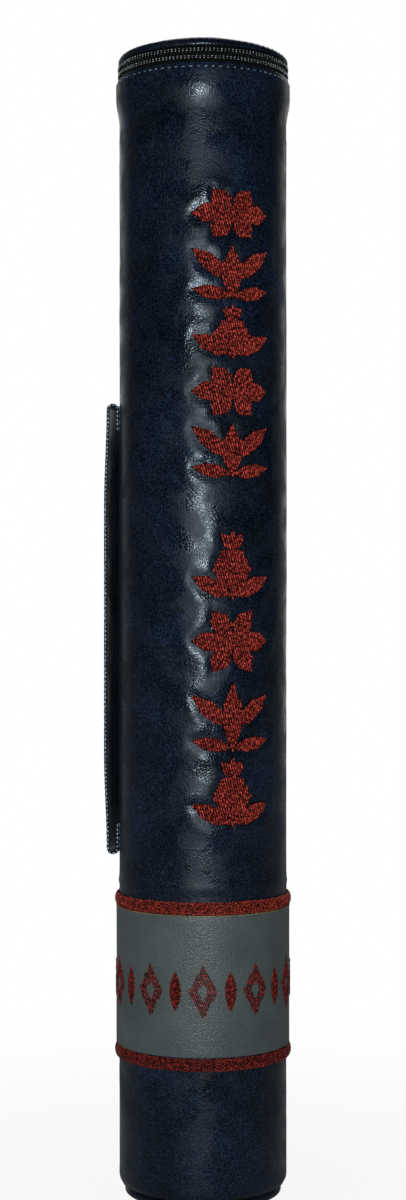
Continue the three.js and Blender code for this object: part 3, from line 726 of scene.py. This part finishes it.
use = bandUse
edge = use["face"] - use["rounding"]
bm = spun([
    (use["inner"], use["bottom"]), (edge, use["bottom"]),
    *arc(edge, use["bottom"] + use["rounding"], use["rounding"], -80, 0, 4),
    *arc(edge, use["top"] - use["rounding"], use["rounding"], 0, 80, 4),
    (edge, use["top"]), (use["inner"], use["top"])], use["steps"], use["cut"])
reshape(bm, bandRadius)
addPiece("slate_band", bm, slateFinish, "case_body", ["grey_band"])

rawEdge = arc(use["face"] - use["rawInset"], use["top"] - use["rawInset"], use["rawRadius"],
              0, 330, 11)
bm = spun(rawEdge, use["rawSteps"], use["rawCut"])
addPiece("band_raw_edge", bm, edgeFinish, "case_body")

use = borderUse
halfRepeat = math.pi * use["radius"] / use["repeats"]


def inBorder(along, height):
    use = borderUse
    above = abs(height - use["middle"])
    lozenge = abs(along) / use["lozengeHalfWidth"] + above / use["lozengeHalfHeight"]
    if use["eyeShare"] < lozenge < 1:
        return True
    share = above / use["leafHalfHeight"]
    fromLeaf = abs(halfRepeat - abs(along))
    return share < 1 and fromLeaf < use["leafHalfWidth"] * (1 - share * share)


places = []
draw = random.Random("border")
for repeat in range(use["repeats"]):
    fillWithStitches(
        places, inBorder, use["firstAngle"] + repeat * 360 / use["repeats"],
        halfRepeat - use["clear"], use["middle"] - use["lozengeHalfHeight"],
        use["middle"] + use["lozengeHalfHeight"], use, draw)
addPiece("band_border_stitches", stitched(places), maroonFinish, "case_body")
print("band made")


# Pipings: a round core wrapped in short slanted stitches. The lower one's thread is painted
# darker: painted shade, as it gets less light than the upper one.

pipingUse = {
    "inner": caseUse["seat"], "thickness": 1.35, "halfHeight": 2.4, "rows": 11, "pitch": 0.72,
    "outer": 36.5, "wrapTurn": 72.0, "length": (0.85, 1.25), "width": 0.44, "rise": 0.5,
    "stray": 0.3, "drift": 0.12, "slant": (-0.2, 1.4), "tilt": 0.25, "lower": 59.45,
    "upper": 122.45, "steps": 140, "cut": 4,
}


def piping(name, middle, finish):
    use = pipingUse
    core = arc(use["inner"], middle, use["thickness"], -90, 90, 10, use["halfHeight"])
    bm = spun(core, use["steps"], use["cut"])
    addPiece(name + "_core", bm, paddingShadeFinish, "case_body")
    places = []
    draw = random.Random(name)
    count = int(2 * math.pi * use["outer"] / use["pitch"])
    stray, drift, tilt, wrap = use["stray"], use["drift"], use["tilt"], use["wrapTurn"]
    for row in range(use["rows"]):
        turn = math.radians(-wrap + 2 * wrap * row / (use["rows"] - 1))
        radius = use["inner"] + use["thickness"] * math.cos(turn)
        height = middle + use["halfHeight"] * math.sin(turn)
        for i in range(count):
            angle = 360 * (i + 0.5 * (row % 2) + draw.uniform(-stray, stray)) / count
            face = (outward(angle) * math.cos(turn) / use["thickness"]
                    + upward * math.sin(turn) / use["halfHeight"])
            run = sideways(angle) + upward * draw.uniform(*use["slant"])
            addStitch(places, around(angle, radius, height + draw.uniform(-drift, drift)), run,
                      face + sideways(angle) * draw.uniform(-tilt, tilt),
                      draw.uniform(*use["length"]), use["width"], use["rise"])
    addPiece(name + "_stitches", stitched(places), finish, "case_body",
             [name])


piping("band_piping_lower", pipingUse["lower"], shadedPipingFinish)
piping("band_piping_upper", pipingUse["upper"], pipingFinish)
print("pipings wrapped")


# Strap: one band of leather, its ends folded under and sewn to the cover

strapUse = {
    "angle": -90.0, "halfAngle": 12.4, "bottom": 140.2, "length": 189.0, "thickness": 1.2,
    "endStand": 5.4, "middleStand": 6.5, "standRun": 40.0, "lowerLeg": 12.5, "upperLeg": 11.0,
    "wall": caseUse["wall"], "clear": 0.3, "steps": 44, "freeRadius": 38.5, "freeRun": 25.0,
    "lean": 2.4, "leanFrom": -0.6, "waver": 0.12, "waverSizes": (9, 14), "acrossSteps": 12,
    "edgeWidth": 0.4,
}
strapStitchUse = {
    "first": 0.6, "pitch": 2.7, "inset": 1.7, "faceRadius": 41.0, "proud": 0.62,
    "lengthShare": 0.74, "width": 0.55, "rise": 0.4,
}
# The burnished edge, where the pale core of the leather shows in dots.
strapEdgeUse = {
    "first": 0.4, "pitch": 1.75, "proudAngle": 0.02, "length": 1.05, "width": 0.72, "rise": 0.4,
}


def strapPath(use):
    fold = (use["endStand"] - use["clear"]) / 2
    mid = use["thickness"] / 2
    low, high = use["bottom"] + fold, use["bottom"] + use["length"] - fold
    centre = use["wall"] + use["clear"] + fold
    onWall = use["wall"] + use["clear"] + mid

    def stand(height):
        fromEnd = min(height - low, high - height)
        grown = (use["middleStand"] - use["endStand"]) * smooth(0, use["standRun"], fromEnd)
        return use["wall"] + use["endStand"] - mid + grown
    heights = [low + (high - low) * i / use["steps"] for i in range(1, use["steps"])]
    return [
        (onWall, use["bottom"] + use["lowerLeg"]), *arc(centre, low, fold - mid, -180, 0, 10),
        *[(stand(height), height) for height in heights],
        *arc(centre, high, fold - mid, 0, 180, 10),
        (onWall, use["bottom"] + use["length"] - use["upperLeg"]),
    ]


# The strap's free run leans in at its back edge and wavers a little.
def strapRadius(angle, radius, height):
    use = strapUse
    if radius <= use["freeRadius"]:
        return radius
    fromEnd = min(height - use["bottom"], use["bottom"] + use["length"] - height)
    toBack = smooth(use["leanFrom"], 1, (use["angle"] - angle) / use["halfAngle"])
    radius -= use["lean"] * smooth(0, use["freeRun"], fromEnd) * toBack
    across, along = use["waverSizes"]
    return radius + use["waver"] * noise.noise((angle / across, height / along, 5.2))


# Evenly spaced places along the strap's path: a point, and the run of the path there.
def strapMarks(path, first, pitch):
    travelled, due = 0.0, first
    for (r0, z0), (r1, z1) in zip(path, path[1:]):
        step = math.hypot(r1 - r0, z1 - z0)
        while due <= travelled + step:
            share = (due - travelled) / step
            yield r0 + (r1 - r0) * share, z0 + (z1 - z0) * share, r1 - r0, z1 - z0
            due += pitch
        travelled += step


use = strapUse
path = strapPath(use)
bm = bmesh.new()
corners = [bm.verts.new(around(use["angle"] - use["halfAngle"], r, z)) for r, z in path]
for pair in zip(corners, corners[1:]):
    bm.edges.new(pair)
bmesh.ops.spin(bm, geom=bm.verts[:] + bm.edges[:], cent=(0, 0, 0), axis=(0, 0, 1),
               angle=math.radians(2 * use["halfAngle"]), steps=use["acrossSteps"])
bmesh.ops.remove_doubles(bm, verts=bm.verts, dist=1e-6)
reshape(bm, strapRadius)
bmesh.ops.recalc_face_normals(bm, faces=bm.faces)
strap = addPiece(
    "leather_strap", bm, strapFinish, "case_body", ["handle_strap"])
thick = strap.modifiers.new("thickness", "SOLIDIFY")
thick.thickness = use["thickness"] * mm
thick.offset = 0
rounded = strap.modifiers.new("edges", "BEVEL")
rounded.width = use["edgeWidth"] * mm
rounded.segments = 3
rounded.limit_method = "ANGLE"
rounded.angle_limit = math.radians(50)

sewn, dots = strapStitchUse, strapEdgeUse
places = []
sewnAngle = use["halfAngle"] - math.degrees(sewn["inset"] / sewn["faceRadius"])
for radius, height, goesOut, goesUp in strapMarks(path, sewn["first"], sewn["pitch"]):
    for side in (-1, 1):
        angle = use["angle"] + side * sewnAngle
        run = outward(angle) * goesOut + upward * goesUp
        face = sideways(angle).cross(run).normalized()
        spot = around(angle, radius, height) + face * (sewn["proud"] * mm)
        addStitch(places, spot, run, face, sewn["pitch"] * sewn["lengthShare"],
                  sewn["width"], sewn["rise"])
addPiece("strap_stitches", stitched(places), stitchFinish, "case_body")

places = []
for radius, height, goesOut, goesUp in strapMarks(path, dots["first"], dots["pitch"]):
    for side in (-1, 1):
        angle = use["angle"] + side * (use["halfAngle"] + dots["proudAngle"])
        run = outward(angle) * goesOut + upward * goesUp
        addStitch(places, around(angle, radius, height), run, sideways(angle) * side,
                  dots["length"], dots["width"], dots["rise"])
addPiece("strap_edge_stitches", stitched(places), edgeDotFinish, "case_body")
print("strap made")


# Tube, lining and floor

tubeUse = {
    "inner": 31.3, "outer": 33.5, "bottom": 4.4, "top": 463.3, "ease": (0.3, 0.3),
    "shoulderDrop": 0.3, "steps": 120, "cut": 60,
}
liningUse = {
    "inner": 30.4, "outer": 31.0, "bottom": 7.2, "top": 463.5, "ease": (0.2, 0.1),
    "shoulderDrop": 0.3, "steps": 120, "cut": 8,
    "slackFrom": 12.0, "slackTo": 460.0, "slack": (0.08, 22, 6.1),
}
cushionUse = {
    "radius": 30.1, "bottom": 7.2, "top": 8.3, "crease": 0.1, "creaseSize": 9,
    "rim": ((-0.5, 0), (0, 0.3), (-0.2, 0.7), (-1.5, 0.95)), "steps": 96, "cut": 3,
}


# A round plate, flat on top unless given a top. Its rim is steps out from the radius and up
# from the bottom.
def plate(use, top=()):
    rim = [(use["radius"] + out, use["bottom"] + up) for out, up in use["rim"]]
    profile = [(0, use["bottom"]), *rim, *(top or [(0, use["top"])])]
    return spun(profile, use["steps"], use["cut"], join=False)


# Profile of a tube, its upper edges eased inside and outside by two widths.
def sleeve(use):
    inside, outside = use["ease"]
    shoulder = use["top"] - use["shoulderDrop"]
    return [
        (use["inner"], use["bottom"]), (use["outer"], use["bottom"]), (use["outer"], shoulder),
        (use["outer"] - outside, use["top"]), (use["inner"] + inside, use["top"]),
        (use["inner"], shoulder),
    ]


def liningRadius(angle, radius, height):
    use = liningUse
    if radius >= use["inner"] + 0.3 or not use["slackFrom"] < height < use["slackTo"]:
        return radius
    return radius + ripple(angle, height, use["slack"])


bm = spun(sleeve(tubeUse), tubeUse["steps"], tubeUse["cut"])
addPiece("rolled_tube", bm, boardFinish, "case_body", ["inner_tube"])

bm = spun(sleeve(liningUse), liningUse["steps"], liningUse["cut"])
reshape(bm, liningRadius)
addPiece("cloth_lining", bm, liningFinish, "case_body", ["tube_lining"])

use = cushionUse
bm = plate(use)
for vertex in bm.verts:
    if vertex.co.z / mm > use["top"] - 0.5:
        dent = noise.noise(vertex.co / mm / use["creaseSize"])
        vertex.co.z += use["crease"] * mm * dent
floorPad = addPiece(
    "floor_cushion", bm, liningFinish, "case_body", ["floor_pad"])
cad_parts["bottom_board"].data.materials[0] = boardFinish
print("tube and lining made")


# Zip: tapes, coil rows and the twin rows of stitches that hold each coil to its tape

zipUse = {
    "chain": caseUse["chain"], "pitch": 1.55, "tapeInner": 33.8, "tapeOuter": 34.2,
    "coilInner": 34.5, "coilOuter": 35.6, "edge": 1.1, "foot": 451.5, "endTop": 469.9,
    "lidTop": 472.0, "lidChain": 136.0, "coilEnd": 149.7, "tapeEnd": 155.3,
    "slack": (0.05, 6, 3.3), "leastSteps": 6, "stepAngle": 3, "tapeCut": 0.9,
}
# Length, width and rise of a tooth's root, its head and a sewing stitch, and where they are:
# root and head from the chain's middle, each sewing row by its drop and its slant.
toothUse = {
    "root": (2.4, 0.62, 1.05), "rootDrop": 0.85, "head": (0.7, 0.72, 1.0), "headLift": 0.28,
    "sewn": (0.55, 0.42, 0.45), "rows": ((1.1, 0.6), (1.9, -0.6)), "rowShift": 0.25,
    "rowSunk": 0.02,
}


def tape(name, fromAngle, toAngle, low, high, body, replaced):
    use = zipUse
    steps = max(use["leastSteps"], int((toAngle - fromAngle) / use["stepAngle"]))
    inner, outer = use["tapeInner"], use["tapeOuter"]
    bm = spun([(inner, low), (outer, low), (outer, high), (inner, high)],
              steps, use["tapeCut"], fromAngle, toAngle)
    reshape(bm, lambda angle, radius, height: radius + ripple(angle, height, use["slack"]))
    addPiece(name, bm, tapeFinish, body, [replaced])


use = zipUse
below, above = use["chain"] - use["edge"], use["chain"] + use["edge"]
lidEnd, tapeEnd = use["lidChain"], use["tapeEnd"]
tape("lower_tape", -180, 180, use["foot"], below, "case_body", "zipper_tape_body")
tape("upper_tape", -lidEnd, lidEnd, above, use["lidTop"], "lid", "zipper_tape_lid")
tape("tape_end_right", lidEnd + 1, tapeEnd, above, use["endTop"], "case_body",
     "zipper_tape_end_right")
tape("tape_end_left", -tapeEnd, -lidEnd - 1, above, use["endTop"], "case_body",
     "zipper_tape_end_left")


# A coil row: each turn of the filament is a rounded tooth with a head. side is 1 where the
# teeth point up.
def coil(name, fromAngle, toAngle, side, body, replaced):
    use, tooth = zipUse, toothUse
    radius = (use["coilInner"] + use["coilOuter"]) / 2
    step = math.degrees(use["pitch"] / radius)
    phase = 0 if side > 0 else 0.5
    first = math.ceil(fromAngle / step - phase)
    last = math.floor(toAngle / step - phase)
    teeth, rows = [], []
    up = upward * side
    for i in range(first, last + 1):
        angle = (i + phase) * step
        if not fromAngle < angle < toAngle:
            continue
        out = outward(angle)
        root = around(angle, radius, use["chain"] - side * tooth["rootDrop"])
        addStitch(teeth, root, up, out, *tooth["root"])
        head = around(angle, radius, use["chain"] + side * tooth["headLift"])
        addStitch(teeth, head, up, out, *tooth["head"])
        for drop, slant in tooth["rows"]:
            spot = around(angle + tooth["rowShift"] * step,
                          use["coilOuter"] - tooth["rowSunk"], use["chain"] - side * drop)
            addStitch(rows, spot, sideways(angle) + up * slant, out, *tooth["sewn"])
    addPiece(name, stitched(teeth), nylonFinish, body, [replaced])
    addPiece(name + "_stitches", stitched(rows), zipStitchFinish, body)


coilEnd = use["coilEnd"]
coil("lower_coil", -coilEnd, coilEnd, 1, "case_body", "zipper_coil_body")
coil("upper_coil", -lidEnd, lidEnd, -1, "lid", "zipper_coil_lid")
coil("upper_coil_end_right", lidEnd, coilEnd, -1, "case_body", "zipper_coil_end_right")
coil("upper_coil_end_left", -coilEnd, -lidEnd, -1, "case_body", "zipper_coil_end_left")
print("zip made")


# Lid: leather over a padded board, highest near its middle and lower at both sides

lidUse = {
    "radius": 35.5, "inner": 34.5, "bottom": 470.2, "rim": 471.4, "shoulderRadius": 31.0,
    "shoulder": 474.0, "crown": 2.0, "thickness": 1.1, "ease": 0.3, "steps": 160, "cut": 1.6,
    "topSteps": 14, "innerRise": 2.1, "softRim": 0.4, "rise": 0.3, "droop": 0.95,
    "peakPlace": -0.1, "dent": 0.3, "dentSize": 14,
}
waddingUse = {
    "radius": 30.7, "topRadius": 29.5, "bottom": 472.2, "clear": 0.4, "topSteps": 10,
    "rim": ((-0.5, 0), (0, 0.3), (-0.5, 0.5)), "steps": 96, "cut": 4,
}
stiffenerUse = {
    "radius": 33.35, "bottom": 471.0, "top": 471.9,
    "rim": ((-0.25, 0), (0, 0.2), (0, 0.7), (-0.25, 0.9)), "steps": 96, "cut": 8,
}
lidClothUse = {
    "radius": 33.35, "bottom": 470.4, "top": 470.7, "sag": 0.12, "sagSize": 8,
    "rim": ((-0.15, 0), (0, 0.1), (0, 0.3)), "steps": 96, "cut": 4,
}


def lidSkin(use, lift, shoulderRadius, steps):
    shares = [1 - i / steps for i in range(steps + 1)]
    return [(shoulderRadius * share, use["shoulder"] + use["crown"] * (1 - share ** 2) + lift)
            for share in shares]


def lidLift(angle, radius, height):
    use = lidUse
    share = smooth(use["rim"] - use["softRim"], use["shoulder"], height)
    across = radius / use["radius"] * math.sin(math.radians(angle - cameraSet["azimuth"]))
    lift = use["rise"] - use["droop"] * (across - use["peakPlace"]) ** 2
    spot = around(angle, radius, 0) / mm / use["dentSize"]
    return share * (lift + use["dent"] * noise.noise((spot.x, spot.y, 2.2)))


def liftLid(bm):
    for vertex in bm.verts:
        vertex.co.z += lidLift(*placeOf(vertex)) * mm


use = lidUse
bend = arc(use["shoulderRadius"], use["rim"], use["radius"] - use["shoulderRadius"], 0, 90, 8,
           use["shoulder"] - use["rim"])
under = lidSkin(use, -use["thickness"], use["shoulderRadius"], use["topSteps"])
over = lidSkin(use, 0, use["shoulderRadius"], use["topSteps"])
bm = spun([
    *under[::-1], (use["inner"], use["bottom"] + use["innerRise"]),
    (use["inner"], use["bottom"]), (use["radius"] - use["ease"], use["bottom"]),
    (use["radius"], use["bottom"] + use["ease"]), *bend[:-1], *over],
    use["steps"], use["cut"], join=False)
liftLid(bm)
addPiece("lid_leather", bm, lidFinish, "lid", ["lid_cover"])

top = lidSkin(use, -use["thickness"] - waddingUse["clear"], waddingUse["topRadius"],
              waddingUse["topSteps"])
bm = plate(waddingUse, top)
liftLid(bm)
lidPad = addPiece("lid_wadding", bm, liningFinish, "lid", ["lid_padding"])

addPiece("lid_stiffener", plate(stiffenerUse), boardFinish, "lid", ["lid_board"])

use = lidClothUse
bm = plate(use)
for vertex in bm.verts:
    if vertex.co.z < (use["bottom"] + use["top"]) / 2 * mm:
        dent = max(0, noise.noise(vertex.co / mm / use["sagSize"]))
        vertex.co.z -= use["sag"] * mm * dent
addPiece("lid_cloth", bm, liningFinish, "lid", ["lid_lining"])
print("lid made")


# Seams: stitches round the collar, and round the lid's rim, where they lean up

seamUse = {
    "collar_stitches": {"radius": 36.3, "height": 461.6, "length": 1.5, "halfAngle": 155},
    "lid_rim_stitches": {"radius": 34.8, "height": 472.75, "length": 1.6, "halfAngle": 180},
    "pitch": 3.0, "width": 0.5, "rise": 0.4, "sway": 0.1, "lean": 0.7, "lengths": (0.7, 1.25),
}


def seam(name, material, body, lift=None):
    use, line = seamUse, seamUse[name]
    places = []
    draw = random.Random(name)
    radius, height, half = line["radius"], line["height"], line["halfAngle"]
    count = int(math.radians(2 * half) * radius / use["pitch"])
    for i in range(count):
        angle = -half + 2 * half * (i + 0.5) / count
        run = sideways(angle) + upward * draw.uniform(-use["sway"], use["sway"])
        raised = height + (lift(angle, radius, height) if lift else 0)
        out = outward(angle) + upward * (use["lean"] if lift else 0)
        addStitch(places, around(angle, radius, raised), run, out,
                  line["length"] * draw.uniform(*use["lengths"]), use["width"], use["rise"])
    addPiece(name, stitched(places), material, body)


seam("collar_stitches", stitchFinish, "case_body")
seam("lid_rim_stitches", lidStitchFinish, "lid", lidLift)


# Leather hinge: one piece sewn to the collar below and to the lid above

hingeUse = {
    "halfAngle": 24.0, "bodyInner": 36.7, "outer": 37.7, "lidInner": 35.8, "ease": 0.25,
    "low": 451.9, "stepFoot": 464.5, "bendFrom": 466.0, "stepTop": 467.6, "bendTo": 468.0,
    "lidFoot": 470.4, "high": 472.45, "step": 0.3, "axisHeight": caseUse["chain"],
    "axisOut": 38.0, "crease": 0.12, "creaseWidth": 1.2, "slack": (0.05, 7, 9.4),
    "steps": 28, "cut": 0.7,
}


# The outer face has a crease at the bend and a little slack.
def hingeRadius(angle, radius, height):
    use = hingeUse
    if radius <= use["outer"] - 0.1:
        return radius
    fromAxis = (height - use["axisHeight"]) / use["creaseWidth"]
    radius -= use["crease"] * math.exp(-fromAxis ** 2)
    return radius + ripple(angle, height, use["slack"])


use = hingeUse
outer, ease, low, high = use["outer"], use["ease"], use["low"], use["high"]
bm = spun([
    (use["bodyInner"], low), (outer - ease, low), (outer, low + ease),
    (outer, use["bendFrom"]), (outer, use["bendTo"]), (outer, high - ease),
    (outer - ease, high), (use["lidInner"], high), (use["lidInner"], use["lidFoot"]),
    (use["bodyInner"] - use["step"], use["stepTop"]), (use["bodyInner"], use["stepFoot"])],
    use["steps"], use["cut"], 180 - use["halfAngle"], 180 + use["halfAngle"])
reshape(bm, hingeRadius)
hinge = addPiece("leather_hinge", bm, leatherFinish, None,
                 ["hinge_leather_body", "hinge_leather_lid"])
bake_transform(hinge)
print("seams and hinge made")


# Slider, pull and stops: castings with their edges eased

castingUse = {"flatAngle": 2, "sharpAngle": 40, "segments": 2}


def eased(name, source, width, body):
    bm = bmesh.new()
    bm.from_mesh(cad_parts[source].data)
    bmesh.ops.remove_doubles(bm, verts=bm.verts, dist=1e-6)
    bmesh.ops.dissolve_limit(
        bm, angle_limit=math.radians(castingUse["flatAngle"]), verts=bm.verts, edges=bm.edges)
    piece = addPiece(name, bm, nickelFinish, body, [source])
    bevel = piece.modifiers.new("eased", "BEVEL")
    bevel.width = width * mm
    bevel.segments = castingUse["segments"]
    bevel.limit_method = "ANGLE"
    bevel.angle_limit = math.radians(castingUse["sharpAngle"])


eased("zip_slider", "slider_body", 0.16, "slider")
eased("zip_pull", "pull_tab", 0.14, "pull")
for stop in ("zipper_stop_closed_lower", "zipper_stop_open", "zipper_stop_closed_upper"):
    eased(stop + "_crimped", stop, 0.12, "case_body")
print("metal made")


# Floor, world and lamps. The camera sees white all round. Reflections see a dim floor and dark
# surroundings with a pale part behind the case, which keeps the waxed leather near black, as
# in the photograph. Other light comes mostly from the left.

studioSet = {
    "floorColour": "#b4b4b2", "floorRadius": 3.0, "floorGloss": 0.15, "shadowFade": (0.05, 0.4),
    "nearShare": 0.9, "paleFrom": 0.6, "paleTo": 0.96, "gloss": (0.02, 0.66),
    "leftLevel": 0.7, "rightLevel": 0.17,
}
lampSet = {
    "key": {"azimuth": 10, "distance": 1000, "height": 320, "aim": 260, "size": (0.05, 0.08),
            "power": 6},
    "top": {"azimuth": 180, "distance": 900, "height": 1300, "aim": 300, "size": (0.9, 0.9),
            "power": 5},
}

use = studioSet
floor = bpy.data.materials.new("white_floor")
floor.use_nodes = True
floor.node_tree.nodes.clear()
place = addNode(floor, "TexCoord").outputs["Object"]
away = addNode(floor, "VectorMath", {0: place}, operation="LENGTH")
fade = addNode(floor, "MapRange", {
    "Value": away.outputs["Value"], "From Min": use["shadowFade"][0],
    "From Max": use["shadowFade"][1], "To Min": use["nearShare"], "To Max": 1},
    interpolation_type="SMOOTHSTEP")
rays = addNode(floor, "LightPath")
seen = addNode(floor, "Math", {
    0: rays.outputs["Is Camera Ray"], 1: rays.outputs["Is Glossy Ray"]}, operation="MAXIMUM")
seen = addNode(floor, "Math", {
    0: seen.outputs["Value"], 1: rays.outputs["Is Transmission Ray"]}, operation="MAXIMUM")
share = addNode(floor, "Math", {
    0: seen.outputs["Value"], 1: fade.outputs["Result"]}, operation="MULTIPLY")
matte = addNode(floor, "BsdfDiffuse", {"Color": linear(use["floorColour"])})
level = addNode(floor, "Mix", {0: rays.outputs["Is Glossy Ray"], 2: 1.0, 3: use["floorGloss"]})
glow = addNode(floor, "Emission", {"Color": (1, 1, 1, 1), "Strength": level.outputs[0]})
mixed = addNode(floor, "MixShader", {
    0: share.outputs["Value"], 1: matte.outputs["BSDF"], 2: glow.outputs["Emission"]})
addNode(floor, "OutputMaterial", {"Surface": mixed.outputs["Shader"]})
bm = bmesh.new()
bmesh.ops.create_circle(bm, cap_ends=True, segments=64, radius=use["floorRadius"])
mesh = bpy.data.meshes.new("studio_floor")
bm.to_mesh(mesh)
bm.free()
mesh.materials.append(floor)
floorObject = bpy.data.objects.new("studio_floor", mesh)
bpy.context.scene.collection.objects.link(floorObject)
floorObject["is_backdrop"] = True

world = bpy.data.worlds.new("studio")
world.use_nodes = True
bpy.context.scene.world = world
world.node_tree.nodes.clear()
direction = addNode(world, "TexCoord").outputs["Generated"]
back = addNode(world, "VectorMath", {
    0: direction, 1: outward(180 + cameraSet["azimuth"])}, operation="DOT_PRODUCT")
behind = addNode(world, "MapRange", {
    "Value": back.outputs["Value"], "From Min": use["paleFrom"], "From Max": use["paleTo"],
    "To Min": use["gloss"][0], "To Max": use["gloss"][1]})
across = addNode(world, "VectorMath", {
    0: direction, 1: outward(90 + cameraSet["azimuth"])}, operation="DOT_PRODUCT")
fromLeft = addNode(world, "MapRange", {
    "Value": across.outputs["Value"], "From Min": -1, "To Min": use["leftLevel"],
    "To Max": use["rightLevel"]})
rays = addNode(world, "LightPath")
dim = addNode(world, "Mix", {
    0: rays.outputs["Is Glossy Ray"], 2: fromLeft.outputs["Result"],
    3: behind.outputs["Result"]})
level = addNode(world, "Mix", {
    0: rays.outputs["Is Camera Ray"], 2: dim.outputs[0], 3: 1.0})
level = addNode(world, "Mix", {
    0: rays.outputs["Is Transmission Ray"], 2: level.outputs[0], 3: 1.0})
sky = addNode(world, "Background", {"Color": (1, 1, 1, 1), "Strength": level.outputs[0]})
addNode(world, "OutputWorld", {"Surface": sky.outputs["Background"]})

for name, use in lampSet.items():
    lamp = bpy.data.lights.new(name, "AREA")
    lamp.shape = "RECTANGLE"
    lamp.size, lamp.size_y = use["size"]
    lamp.energy = use["power"]
    lampObject = bpy.data.objects.new(name, lamp)
    bpy.context.scene.collection.objects.link(lampObject)
    lampObject.location = around(use["azimuth"], use["distance"], use["height"])
    aim = upward * use["aim"] * mm - lampObject.location
    lampObject.rotation_euler = aim.to_track_quat("-Z", "Y").to_euler()
print("lights set")

low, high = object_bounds()
({"cad": [list(corner) for corner in cadBox],
           "visual": [list(low), list(high)]})
